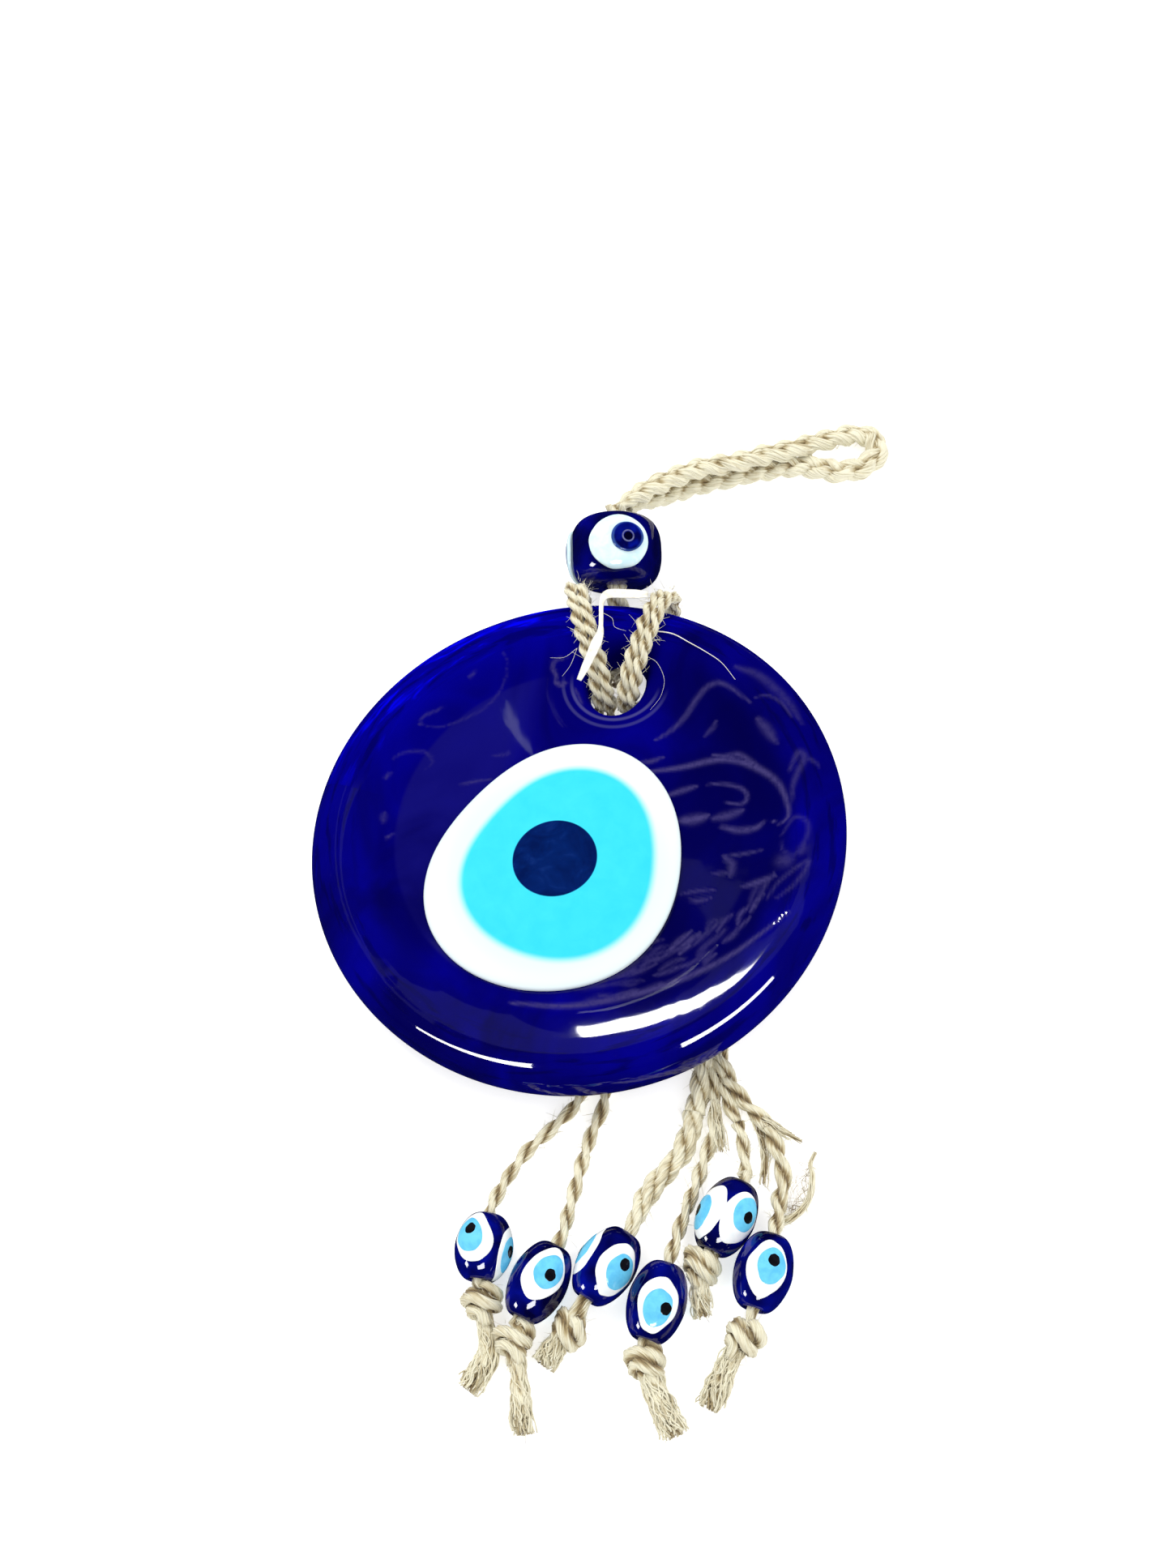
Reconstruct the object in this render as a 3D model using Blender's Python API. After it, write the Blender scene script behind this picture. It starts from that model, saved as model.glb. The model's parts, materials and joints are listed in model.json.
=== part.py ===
"""Evil eye ornament: a poured glass disc with a layered eye, a beaded hanger and six beaded tassels.

The ornament lies on its back. The origin is the centre of the flat land on the disc's back, +Z points out of
the face, and +Y points from the disc's centre to the hanging hole. Lengths are in metres.
"""

import math

import bmesh
import bpy
import numpy as np

MM = 0.001
FLOOR = -3.8 * MM  # height of the table under the cords and beads
GAP = 0.3 * MM  # clearance between neighbouring pieces

# Glass disc
DISC_RADIUS = 55.0 * MM
DISC_SEGMENTS = 72
CREST_RADIUS = 50.5 * MM
RIM_HEIGHT = 10.6 * MM
DISH_FLOOR = 7.9 * MM
DISH_RADIUS = 37.2 * MM
RIM_FOOT_RADIUS = 39.5 * MM
RIM_SLOPE = math.radians(22.0)  # at the rim's foot, easing to level at its crest
LAND_RADIUS = 9.0 * MM
BACK_RISE = 0.5 * MM

# Hanging hole, an oval that flares towards the front
HOLE_CENTRE = (0.0, 35.6 * MM)
HOLE_HALF_WIDTH = 6.0 * MM
HOLE_HALF_LENGTH = 7.6 * MM
HOLE_FLARE = 2.6 * MM

# Layered eye
EYE_CENTRE = (-0.8 * MM, -10.0 * MM)
EYE_SEGMENTS = 48
EYE_TOP = 12.2 * MM
EYE_EDGE = 8.6 * MM
INLAY_DEPTH = 1.1 * MM
INLAY_GAP = 0.1 * MM

# Large bead above the disc
TOP_BEAD_CENTRE = (-8.2 * MM, 67.8 * MM, 6.8 * MM)
TOP_BEAD_RADIUS = 10.0 * MM
TOP_BEAD_LENGTH = 16.0 * MM
TOP_BEAD_FULLNESS = 2.7
TOP_BEAD_BORE = 2.7 * MM
HANGER_LEAN = math.radians(12.7)  # to the left of +Y
HANGER_RISE = math.radians(18.0)  # above the table
STEM_RADIUS = 2.2 * MM
STEM_PIVOT = (-3.8 * MM, 51.5 * MM, -1.7 * MM)

# Small beads
BEAD_RADIUS = 5.4 * MM
BEAD_BORE = 1.75 * MM
BEAD_FULLNESS = 1.9
BEAD_LIP = 0.9 * MM  # glass round the bore at a bead's ends
BORE_CORD_RADIUS = 1.35 * MM
BEAD_HEIGHT = FLOOR + BEAD_RADIUS

# Overhand knots below the small beads
KNOT_RADIUS = 3.6 * MM
KNOT_TWINE = 1.45 * MM

# Cords
RUN_HEIGHT = -2.0  # of the flat cords behind the disc, in millimetres
TAIL_SPREAD = 0.95 * MM  # how much wider a frayed tail ends
TAIL_HEIGHT = 1.9 * MM  # half the greatest thickness of a tassel's cord


def point(x, y, z=0.0):
    """A position given in millimetres."""
    return np.array((x, y, z)) * MM


def unit(vector):
    return vector / np.linalg.norm(vector)


def clear_scene():
    for obj in list(bpy.data.objects):
        bpy.data.objects.remove(obj)


def material(name, colour, roughness, transmission=0.0):
    made = bpy.data.materials.new(name)
    made.use_nodes = True
    shader = made.node_tree.nodes["Principled BSDF"]
    shader.inputs["Base Color"].default_value = (*colour, 1.0)
    shader.inputs["Roughness"].default_value = roughness
    shader.inputs["Transmission Weight"].default_value = transmission
    made.diffuse_color = (*colour, 1.0)
    return made


def face_outwards(mesh):
    editable = bmesh.new()
    editable.from_mesh(mesh)
    bmesh.ops.recalc_face_normals(editable, faces=editable.faces)
    editable.to_mesh(mesh)
    editable.free()


def mesh_object(name, vertices, faces, surface=None):
    mesh = bpy.data.meshes.new(name)
    mesh.from_pydata([tuple(v) for v in vertices], [], faces)
    face_outwards(mesh)
    mesh.shade_smooth()
    mesh.set_sharp_from_angle(angle=math.radians(40))
    if surface:
        mesh.materials.append(surface)
    obj = bpy.data.objects.new(name, mesh)
    bpy.context.scene.collection.objects.link(obj)
    return obj


def skin(rings, closed_profile=False):
    """Faces between rings of equal length. An open profile's first and last ring are capped by a fan."""
    rings = np.asarray(rings)
    count, size = rings.shape[:2]
    vertices = [tuple(v) for v in rings.reshape(-1, 3)]
    faces = []
    for i in range(count if closed_profile else count - 1):
        low = i * size
        high = (i + 1) % count * size
        for j in range(size):
            k = (j + 1) % size
            faces.append((low + j, low + k, high + k, high + j))
    if not closed_profile:
        for ring, turn in ((0, -1), (count - 1, 1)):
            centre = len(vertices)
            vertices.append(tuple(rings[ring].mean(axis=0)))
            for j in range(size):
                edge = (ring * size + j, ring * size + (j + 1) % size)
                faces.append((centre, *edge[::turn]))
    return vertices, faces


def combine(target, other, operation):
    """Applies a Boolean and removes the other object."""
    modifier = target.modifiers.new("combine", "BOOLEAN")
    modifier.object = other
    modifier.operation = operation
    modifier.solver = "EXACT"
    graph = bpy.context.evaluated_depsgraph_get()
    mesh = bpy.data.meshes.new_from_object(target.evaluated_get(graph))
    target.modifiers.clear()
    target.data = mesh
    bpy.data.objects.remove(other)


# ---------------------------------------------------------------- glass disc and its eye


def rounded_outline(mean, *waves):
    """An outline as radius over angle: a mean, then the size and peak angle of each slow wave in turn."""

    def radius_at(angle):
        radius = mean
        for turns, (size, peak) in enumerate(waves, start=1):
            radius += size * math.cos(turns * (angle - math.radians(peak)))
        return radius * MM

    return radius_at


# The hand-poured disc is not quite round
DISC_OUTLINE = rounded_outline(54.7, (0.4, -41), (0.0, 0), (0.3, -56))


def rim_height(radius):
    """Height of the rim's inner slope, which eases from its steepest at the foot to level at the crest."""
    width = CREST_RADIUS - RIM_FOOT_RADIUS
    slope = RIM_SLOPE * (CREST_RADIUS - radius) / width
    return RIM_HEIGHT + width / RIM_SLOPE * math.log(math.cos(slope))


def disc_profile():
    """(radius, height) from the back's centre, round the edge and over the rim, to the dish's floor."""
    profile = [(LAND_RADIUS, 0.0), (CREST_RADIUS, BACK_RISE)]
    middle = (RIM_HEIGHT + BACK_RISE) / 2
    for angle in np.radians(np.linspace(-64, 64, 9)):
        reach = (DISC_RADIUS - CREST_RADIUS) * math.cos(angle)
        profile.append((CREST_RADIUS + reach, middle + (RIM_HEIGHT - middle) * math.sin(angle)))
    profile += [(r, rim_height(r)) for r in np.linspace(CREST_RADIUS, RIM_FOOT_RADIUS, 5)]
    profile.append((DISH_RADIUS, DISH_FLOOR))
    return profile


def glass_disc(surface):
    turns = np.linspace(0, 2 * math.pi, DISC_SEGMENTS, endpoint=False)
    rings = []
    for r, z in disc_profile():
        reach = [r * DISC_OUTLINE(a) / DISC_RADIUS for a in turns]
        rings.append([(s * math.cos(a), s * math.sin(a), z) for s, a in zip(reach, turns)])
    disc = mesh_object("glass_disc", *skin(rings), surface)
    levels = (
        (-2.0 * MM, HOLE_FLARE / 2),
        (0.0, HOLE_FLARE / 4),
        (1.5 * MM, 0.0),
        (6.0 * MM, 0.0),
        (8.0 * MM, HOLE_FLARE / 4),
        (RIM_HEIGHT - 1.0 * MM, HOLE_FLARE),
        (RIM_HEIGHT + 2.0 * MM, 2.2 * HOLE_FLARE),
    )
    turns = np.linspace(0, 2 * math.pi, 32, endpoint=False)
    rings = [
        [
            (
                HOLE_CENTRE[0] + (HOLE_HALF_WIDTH + grow) * math.cos(a),
                HOLE_CENTRE[1] + (HOLE_HALF_LENGTH + grow) * math.sin(a),
                z,
            )
            for a in turns
        ]
        for z, grow in levels
    ]
    combine(disc, mesh_object("hole_cutter", *skin(rings)), "DIFFERENCE")


# Each layer's outline about the eye's centre. The white and the iris have a blunt tip towards the hole.
WHITE_OUTLINE = rounded_outline(26.4, (1.0, 119), (1.6, 70), (1.0, 86))
IRIS_OUTLINE = rounded_outline(20.2, (1.2, 35), (1.1, 79), (0.9, 82))
PUPIL_OUTLINE = rounded_outline(8.4, (1.4, 106))


def dome_height(share):
    """Height of the eye's front at a share of the way from its centre to its edge."""
    return EYE_EDGE + (EYE_TOP - EYE_EDGE) * math.sqrt(1 - min(share, 0.985) ** 2)


def eye_ring(radius_at, height_at):
    ring = []
    for a in np.linspace(0, 2 * math.pi, EYE_SEGMENTS, endpoint=False):
        r = radius_at(a)
        x = EYE_CENTRE[0] + r * math.cos(a)
        y = EYE_CENTRE[1] + r * math.sin(a)
        ring.append((x, y, height_at(r / WHITE_OUTLINE(a))))
    return ring


def inlay_floor(outline):
    """Height of the underside of a layer set into the dome."""
    return dome_height(outline(0) / WHITE_OUTLINE(0)) - INLAY_DEPTH


def eye_layer(name, outer, bottom, shares, pocket, surface):
    """A layer whose front follows the dome. The pocket is the outline of the layer set into it, or None."""
    rings = [eye_ring(lambda a: 0.4 * outer(a), lambda s: bottom), eye_ring(outer, lambda s: bottom)]
    inner = (lambda a: pocket(a) + INLAY_GAP) if pocket else (lambda a: 0.0)
    for share in shares:
        rings.append(eye_ring(lambda a: outer(a) + (inner(a) - outer(a)) * share, dome_height))
    if pocket:
        floor = inlay_floor(pocket) - INLAY_GAP
        rings.append(eye_ring(inner, lambda s: floor))
        rings.append(eye_ring(lambda a: 0.4 * inner(a), lambda s: floor))
    return mesh_object(name, *skin(rings), surface)


def layered_eye(white, turquoise, navy):
    bottom = DISH_FLOOR + INLAY_GAP
    eye_layer("eye_white", WHITE_OUTLINE, bottom, (0.0, 0.12, 0.35, 0.65, 1.0), IRIS_OUTLINE, white)
    floor = inlay_floor(IRIS_OUTLINE)
    eye_layer("eye_iris", IRIS_OUTLINE, floor, (0.0, 0.33, 0.66, 1.0), PUPIL_OUTLINE, turquoise)
    eye_layer("eye_pupil", PUPIL_OUTLINE, inlay_floor(PUPIL_OUTLINE), (0.0, 0.35, 0.7), None, navy)


# ---------------------------------------------------------------- cords


def smooth_path(points, step):
    """Points at equal steps along a Catmull-Rom curve through the given points."""
    points = np.asarray(points)
    ends = [2 * points[0] - points[1], *points, 2 * points[-1] - points[-2]]
    dense = []
    for a, b, c, d in zip(ends, ends[1:], ends[2:], ends[3:]):
        for t in np.linspace(0, 1, 12, endpoint=False):
            square = (2 * a - 5 * b + 4 * c - d) * t**2
            cube = (3 * b - a - 3 * c + d) * t**3
            dense.append(0.5 * (2 * b + (c - a) * t + square + cube))
    dense = np.array([*dense, points[-1]])
    along = np.concatenate([[0], np.cumsum(np.linalg.norm(np.diff(dense, axis=0), axis=1))])
    count = max(int(round(along[-1] / step)), 2) + 1
    wanted = np.linspace(0, along[-1], count)
    return np.column_stack([np.interp(wanted, along, dense[:, i]) for i in range(3)])


def frames(path, sideways=None):
    """A sideways and an upward direction at each point, carried without twist or held sideways."""
    tangents = np.gradient(path, axis=0)
    tangents /= np.linalg.norm(tangents, axis=1)[:, None]
    up = np.array((0.0, 0.0, 1.0))
    result = []
    for tangent in tangents:
        if sideways is not None:
            up = np.cross(sideways, tangent)
        up = unit(up - tangent * (up @ tangent))
        result.append((np.cross(tangent, up), up))
    return result


def tube(name, path, width, height, surface, sides=8, round_start=False, round_end=False, sideways=None):
    """A cord of oval section. Width and height are half sizes, each one number or one for every point."""
    path = np.asarray(path)
    widths = np.broadcast_to(width, len(path)).astype(float)
    heights = np.broadcast_to(height, len(path)).astype(float)
    turns = np.linspace(0, 2 * math.pi, sides, endpoint=False)
    axes = frames(path, sideways)

    def ring(centre, i, shrink):
        side, up = axes[i]
        across = shrink * widths[i] * side
        above = shrink * heights[i] * up
        return [centre + math.cos(a) * across + math.sin(a) * above for a in turns]

    rings = [ring(p, i, 1.0) for i, p in enumerate(path)]
    quarter = np.radians((30, 60, 80))
    if round_start:
        back = unit(path[0] - path[1]) * heights[0]
        caps = [ring(path[0] + back * math.sin(q), 0, math.cos(q)) for q in quarter]
        rings = caps[::-1] + rings
    if round_end:
        ahead = unit(path[-1] - path[-2]) * heights[-1]
        rings += [ring(path[-1] + ahead * math.sin(q), -1, math.cos(q)) for q in quarter]
    return mesh_object(name, *skin(rings), surface)


def ring_about(centre, axis, radius, thickness, squash=1.0):
    """A torus, used as one wrap of a knot."""
    side = unit(np.cross(axis, (0.3, 0.2, 1.0)))
    other = np.cross(axis, side)
    rings = []
    for a in np.linspace(0, 2 * math.pi, 12, endpoint=False):
        out = math.cos(a) * side + squash * math.sin(a) * other
        rings.append(
            [
                centre + radius * out + thickness * (math.cos(b) * unit(out) + math.sin(b) * axis)
                for b in np.linspace(0, 2 * math.pi, 6, endpoint=False)
            ]
        )
    return mesh_object("wrap", *skin(rings, closed_profile=True))


def add_knot(cord, centre, direction, radius, twine):
    """Joins two crossing wraps of an overhand knot onto a cord."""
    direction = unit(direction)
    across = unit(np.cross(direction, (0.0, 0.0, 1.0)))
    for lean, shift in ((0.55, -0.32), (-0.55, 0.32)):
        axis = unit(direction + lean * across)
        combine(cord, ring_about(centre + shift * radius * direction, axis, radius - twine, twine), "UNION")


def turned_bead(name, centre, axis, radius, length, bore, fullness, surface, segments=28):
    """A bead of revolution with a straight bore. A larger fullness gives squarer shoulders."""
    side = unit(np.cross(axis, (0.0, 0.0, 1.0)))
    up = np.cross(side, axis)
    end = length / 2
    profile = []
    for s in np.linspace(-1, 1, 11):
        along = end * math.sin(s * math.pi / 2)
        r = radius * (1 - abs(math.sin(s * math.pi / 2)) ** fullness) ** (1 / fullness)
        profile.append((along, max(r, bore + BEAD_LIP)))
    profile += [(end * 0.94, bore), (-end * 0.94, bore)]
    rings = []
    for along, r in profile:
        rings.append(
            [
                centre + along * axis + r * (math.cos(a) * side + math.sin(a) * up)
                for a in np.linspace(0, 2 * math.pi, segments, endpoint=False)
            ]
        )
    return mesh_object(name, *skin(rings, closed_profile=True), surface)


# ---------------------------------------------------------------- hanger


def hanger_axis():
    flat = math.cos(HANGER_RISE)
    return np.array((-flat * math.sin(HANGER_LEAN), flat * math.cos(HANGER_LEAN), math.sin(HANGER_RISE)))


def hitch(cord):
    """The doubled cord round the glass above the hole: a knot behind, and a V of two legs in front."""
    leg_width, leg_height = 2.4 * MM, 1.55 * MM
    left = [
        point(-9.0, 48.8, -1.9),
        point(-11.8, 52.8, -1.0),
        point(-13.9, 56.9, 3.4),
        point(-14.0, 57.0, 7.6),
        point(-12.9, 53.6, 12.0),
        point(-10.4, 48.4, 12.8),
        point(-7.4, 42.6, 12.1),
        point(-4.3, 37.0, 9.8),
        point(-2.8, 33.6, 5.6),
        point(-2.75, 32.6, 1.2),
    ]
    right = [
        point(1.8, 48.8, -1.9),
        point(5.0, 53.2, -1.0),
        point(6.0, 58.0, 3.4),
        point(6.1, 58.0, 7.6),
        point(5.6, 54.4, 12.0),
        point(4.8, 49.2, 12.8),
        point(4.1, 43.2, 12.1),
        point(3.3, 37.2, 9.8),
        point(2.8, 33.6, 5.6),
        point(2.75, 32.6, 1.2),
    ]
    across = (1.0, 0.0, 0.0)
    for name, points in (("hitch_leg_left", left), ("hitch_leg_right", right)):
        path = smooth_path(points, 2.6 * MM)
        tube(name, path, leg_width, leg_height, cord, sides=10, sideways=across)
    knot = tube(
        "hitch_knot",
        smooth_path([point(-3.4, 39.8, -2.0), point(-3.4, 43.2, -2.0), point(-3.6, 46.6, -2.0)], 1.2 * MM),
        2.6 * MM,
        1.4 * MM,
        cord,
        round_start=True,
        round_end=True,
    )
    bar = tube(
        "bar",
        smooth_path([point(-7.6, 44.2, -2.0), point(-3.4, 42.9, -2.0), point(0.8, 44.0, -2.0)], 1.6 * MM),
        1.7 * MM,
        1.5 * MM,
        cord,
        round_start=True,
        round_end=True,
    )
    combine(knot, bar, "UNION")


def hanger_stem(cord):
    """The cord from the knot behind the disc up through the large bead's bore."""
    axis = hanger_axis()
    bead = np.array(TOP_BEAD_CENTRE)
    half = TOP_BEAD_LENGTH / 2
    bend = [
        np.array(STEM_PIVOT),
        point(-4.7, 55.4, -0.9),
        bead - axis * (half + 1.8 * MM) - point(0, 0, 0.3),
        bead - axis * half,
        bead,
        bead + axis * (half + 0.4 * MM),
    ]
    tube("hanger_stem", smooth_path(bend, 1.6 * MM), STEM_RADIUS, STEM_RADIUS * 0.9, cord, round_start=True)


def top_bead(glass, white, navy):
    axis = hanger_axis()
    centre = np.array(TOP_BEAD_CENTRE)
    turned_bead(
        "top_bead",
        centre,
        axis,
        TOP_BEAD_RADIUS,
        TOP_BEAD_LENGTH,
        TOP_BEAD_BORE,
        TOP_BEAD_FULLNESS,
        glass,
        segments=36,
    )
    side = unit(np.cross(axis, (0.0, 0.0, 1.0)))
    up = np.cross(side, axis)
    front = unit(0.2 * side + up)
    left = unit(-side - 0.12 * up)
    bead_eye("top_bead_eye_white", centre, axis, front, 6.6 * MM, 0.0, 0.9 * MM, white)
    bead_eye("top_bead_eye_pupil", centre, axis, front, 3.3 * MM, 0.9 * MM, 1.6 * MM, navy)
    bead_eye("top_bead_side_white", centre, axis, left, 6.2 * MM, 0.0, 0.9 * MM, white)
    bead_eye("top_bead_side_pupil", centre, axis, left, 3.1 * MM, 0.9 * MM, 1.6 * MM, navy)


def bead_surface_radius(along):
    """Radius of the large bead at a distance along its axis from its middle."""
    share = min(abs(along) / (TOP_BEAD_LENGTH / 2), 0.999)
    return TOP_BEAD_RADIUS * (1 - share**TOP_BEAD_FULLNESS) ** (1 / TOP_BEAD_FULLNESS)


def bead_eye(name, centre, axis, outward, radius, low, high, surface):
    """A round glass dot lying on the large bead, between two heights above the bead's surface."""
    across = np.cross(axis, outward)

    def ring(share, height):
        made = []
        for a in np.linspace(0, 2 * math.pi, 20, endpoint=False):
            along = share * radius * math.sin(a)
            turn = share * radius * math.cos(a) / TOP_BEAD_RADIUS
            r = bead_surface_radius(along) + height
            made.append(centre + along * axis + r * (math.cos(turn) * outward + math.sin(turn) * across))
        return made

    rings = [ring(s, low + GAP) for s in (0.35, 0.7, 0.96)]
    rings.append(ring(1.0, (low + GAP + high) / 2))
    rings += [ring(s, high) for s in (0.94, 0.7, 0.35)]
    return mesh_object(name, *skin(rings), surface)


def hanging_loop(cord):
    """The plaited hanging cord, folded to an eye, with one leg lying on the other."""
    axis = hanger_axis()
    start = np.array(TOP_BEAD_CENTRE) + axis * (TOP_BEAD_LENGTH / 2 + 3.0 * MM)
    upper = [
        start,
        point(-8.0, 81.4, 8.8),
        point(-4.6, 86.0, 6.2),
        point(0.6, 91.8, 4.0),
        point(6.8, 96.8, 2.4),
        point(13.4, 100.2, 1.6),
        point(20.4, 103.4, 1.1),
        point(27.0, 107.4, 0.2),
        point(33.0, 111.8, -1.4),
        point(37.4, 113.4, -2.1),
        point(41.0, 111.0, -2.1),
    ]
    lower = [
        point(39.2, 112.6, -2.1),
        point(41.0, 111.0, -2.1),
        point(42.4, 107.2, -2.1),
        point(41.0, 103.8, -2.1),
        point(36.2, 102.0, -2.1),
        point(30.0, 102.8, -2.1),
        point(24.0, 103.2, -2.1),
        point(16.0, 100.2, -2.0),
        point(8.0, 96.2, -1.4),
        point(1.6, 91.6, 0.4),
        point(-3.2, 86.4, 3.4),
        point(-5.8, 82.6, 6.2),
    ]
    width, height = 2.3 * MM, 1.6 * MM
    loop = tube("hanging_loop", smooth_path(upper, 2.8 * MM), width, height, cord, round_start=True)
    combine(loop, tube("return", smooth_path(lower, 2.8 * MM), width * 0.96, height * 0.94, cord), "UNION")


# ---------------------------------------------------------------- cords behind the disc and the tassels


def cord_runs(cord):
    """The cords that lie behind the disc: two go left and four go right."""
    left = ((-3.6, 36.6), (-2.0, 30.0), (10.0, 12.0), (13.0, -12.0), (14.4, -34.0), (15.6, -49.0))
    right = ((4.8, 36.6), (7.0, 29.0), (21.0, 14.0), (27.5, -10.0), (33.0, -28.0), (35.4, -37.0))
    runs = (("cord_run_left", left, 2.8 * MM, 1.45 * MM), ("cord_run_right", right, 3.6 * MM, 1.5 * MM))
    for name, places, width, height in runs:
        path = smooth_path([point(x, y, RUN_HEIGHT) for x, y in places], 4.5 * MM)
        tube(name, path, width, height, cord, round_start=True)


# Where each tassel's hinge is. The first two are at the disc's edge, and the others where the bundle ends.
TASSEL_PIVOTS = {
    0: point(12.6, -52.6, -2.3),
    1: point(17.9, -52.6, -2.2),
    2: point(34.9, -58.6, -1.5),
    3: point(39.4, -58.6, -2.4),
    4: point(47.3, -58.6, -2.4),
    5: point(54.8, -58.6, -1.9),
}
CORD_RADII = (1.3, 1.35, 2.1, 1.3, 1.3, 1.6)


def branch_end(number):
    """Where a branch of the bundle stops, a little short of the rounded start of its tassel's cord."""
    return TASSEL_PIVOTS[number] + point(0, CORD_RADII[number] + 0.8)


def right_bundle(cord):
    """The four right-hand cords where they spread below the disc."""
    trunk = [point(36.4, -41.2, -1.9), point(37.0, -44.0, -1.7), point(37.6, -47.0, -1.7)]
    path = smooth_path(trunk, 1.5 * MM)
    bundle = tube("right_bundle", path, 3.3 * MM, 1.7 * MM, cord, sides=10, round_start=True)
    branches = {
        2: [(36.0, -43.6, -1.6), (36.0, -48.0, -1.5), (35.6, -52.0, -1.5)],
        3: [(38.4, -43.8, -1.8), (39.6, -48.4, -1.9), (39.9, -52.6, -2.2)],
        4: [(38.2, -43.2, -1.5), (42.0, -47.2, -1.8), (45.0, -51.6, -2.2)],
        5: [(38.0, -42.9, -1.4), (43.6, -45.2, -1.4), (50.0, -50.2, -1.7)],
    }
    for number, places in branches.items():
        path = smooth_path([*(point(*place) for place in places), branch_end(number)], 3.0 * MM)
        radius = CORD_RADII[number] * MM
        combine(bundle, tube("branch", path, radius, radius, cord), "UNION")


# Each tassel: cord points between its hinge and its bead, the bead's centre, its knot and its tail.
# The heading is the bore's direction towards the tail, in degrees from -Y towards +X.
TASSELS = (
    dict(
        lead=[(9.4, -58.6), (5.8, -64.4), (3.6, -71.2)],
        bead=(3.4, -84.6),
        length=12.4,
        heading=6.0,
        knot=(5.4, -95.0),
        tail=[(8.2, -101.4), (8.0, -106.0), (5.8, -111.6)],
    ),
    dict(
        lead=[(17.1, -58.6), (16.8, -66.0), (17.0, -73.4)],
        bead=(15.2, -88.6),
        length=14.6,
        heading=-13.0,
        knot=(13.2, -101.0),
        tail=[(15.4, -107.0), (17.6, -111.6), (19.4, -117.0)],
    ),
    dict(
        lead=[(32.6, -63.4), (30.6, -68.6)],
        bead=(26.8, -83.0),
        length=14.2,
        heading=-20.0,
        knot=(22.4, -95.0),
        tail=[(20.4, -99.4), (18.9, -103.0)],
    ),
    dict(
        lead=[(39.0, -64.0), (38.2, -71.0)],
        bead=(37.4, -87.4),
        length=14.4,
        heading=-3.0,
        knot=(38.2, -99.2),
        tail=[(41.0, -103.4), (43.4, -106.6), (46.0, -109.6)],
    ),
    dict(
        lead=[(47.6, -60.6)],
        bead=(46.4, -69.4),
        length=14.2,
        heading=-12.0,
        knot=(44.9, -80.0),
        tail=[(45.8, -85.2), (46.4, -88.6)],
    ),
    dict(
        lead=[(54.9, -63.0), (55.3, -66.4)],
        bead=(55.1, -77.9),
        length=14.0,
        heading=-3.0,
        knot=(54.2, -90.6),
        tail=[(51.6, -97.4), (49.6, -104.4)],
    ),
)


def heading_axis(degrees):
    angle = math.radians(degrees)
    return np.array((math.sin(angle), -math.cos(angle), 0.0))


def bead_centre(tassel):
    return np.array((tassel["bead"][0] * MM, tassel["bead"][1] * MM, BEAD_HEIGHT))


def tassel_cord(number, tassel, cord):
    """One cord from its hinge, through its bead's bore, to its knot and frayed tail."""
    axis = heading_axis(tassel["heading"])
    centre = bead_centre(tassel)
    radius = CORD_RADII[number] * MM
    half = tassel["length"] / 2 * MM
    pivot = TASSEL_PIVOTS[number]
    entry = centre - axis * (half + 0.6 * MM)
    points = [pivot]
    rise = entry[2] - pivot[2]
    for i, (x, y) in enumerate(tassel["lead"]):
        share = (i + 1) / (len(tassel["lead"]) + 1)
        points.append(np.array((x * MM, y * MM, pivot[2] + rise * share**2)))
    straight = [entry, centre, centre + axis * (half + 0.2 * MM)]
    knot = np.array((tassel["knot"][0] * MM, tassel["knot"][1] * MM, -0.4 * MM))
    tail = [np.array((x * MM, y * MM, -1.8 * MM)) for x, y in tassel["tail"]]
    lead_path = smooth_path([*points, entry], 3.4 * MM)
    tail_path = smooth_path([straight[-1], knot, *tail], 2.6 * MM)
    path = np.vstack([lead_path, [centre], tail_path])
    lead_widths = np.linspace(radius, min(radius, BORE_CORD_RADIUS), len(lead_path))
    tail_widths = BORE_CORD_RADIUS + np.linspace(0, TAIL_SPREAD, len(tail_path))
    widths = np.concatenate([lead_widths, [BORE_CORD_RADIUS], tail_widths])
    heights = np.minimum(widths, TAIL_HEIGHT)
    made = tube(f"tassel_cord_{number + 1}", path, widths, heights, cord, round_start=True)
    add_knot(made, knot, tail[0] - straight[-1], KNOT_RADIUS, KNOT_TWINE)


def loose_strand(cord):
    """The frayed strand that hangs beside the last tassel's cord."""
    points = [
        point(58.2, -61.0, -2.6),
        point(58.6, -65.6, -2.4),
        point(60.6, -62.0, -2.2),
        point(60.4, -53.0, -1.6),
    ]
    tube("loose_strand", smooth_path(points, 1.8 * MM), 1.0 * MM, 0.8 * MM, cord, sides=6)


def main():
    clear_scene()
    cobalt = material("cobalt glass", (0.004, 0.006, 0.19), 0.04, 0.35)
    white = material("white glass", (0.86, 0.95, 0.96), 0.12)
    turquoise = material("turquoise glass", (0.07, 0.58, 0.86), 0.1)
    navy = material("navy glass", (0.004, 0.012, 0.12), 0.05)
    bead_glaze = material("blue glazed bead", (0.004, 0.01, 0.2), 0.08)
    jute = material("jute cord", (0.58, 0.45, 0.27), 0.85)
    glass_disc(cobalt)
    layered_eye(white, turquoise, navy)
    hitch(jute)
    hanger_stem(jute)
    top_bead(bead_glaze, white, navy)
    hanging_loop(jute)
    cord_runs(jute)
    right_bundle(jute)
    for number, tassel in enumerate(TASSELS):
        tassel_cord(number, tassel, jute)
        turned_bead(
            f"bead_{number + 1}",
            bead_centre(tassel),
            heading_axis(tassel["heading"]),
            BEAD_RADIUS,
            tassel["length"] * MM,
            BEAD_BORE,
            BEAD_FULLNESS,
            bead_glaze,
        )
    loose_strand(jute)


main()
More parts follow.
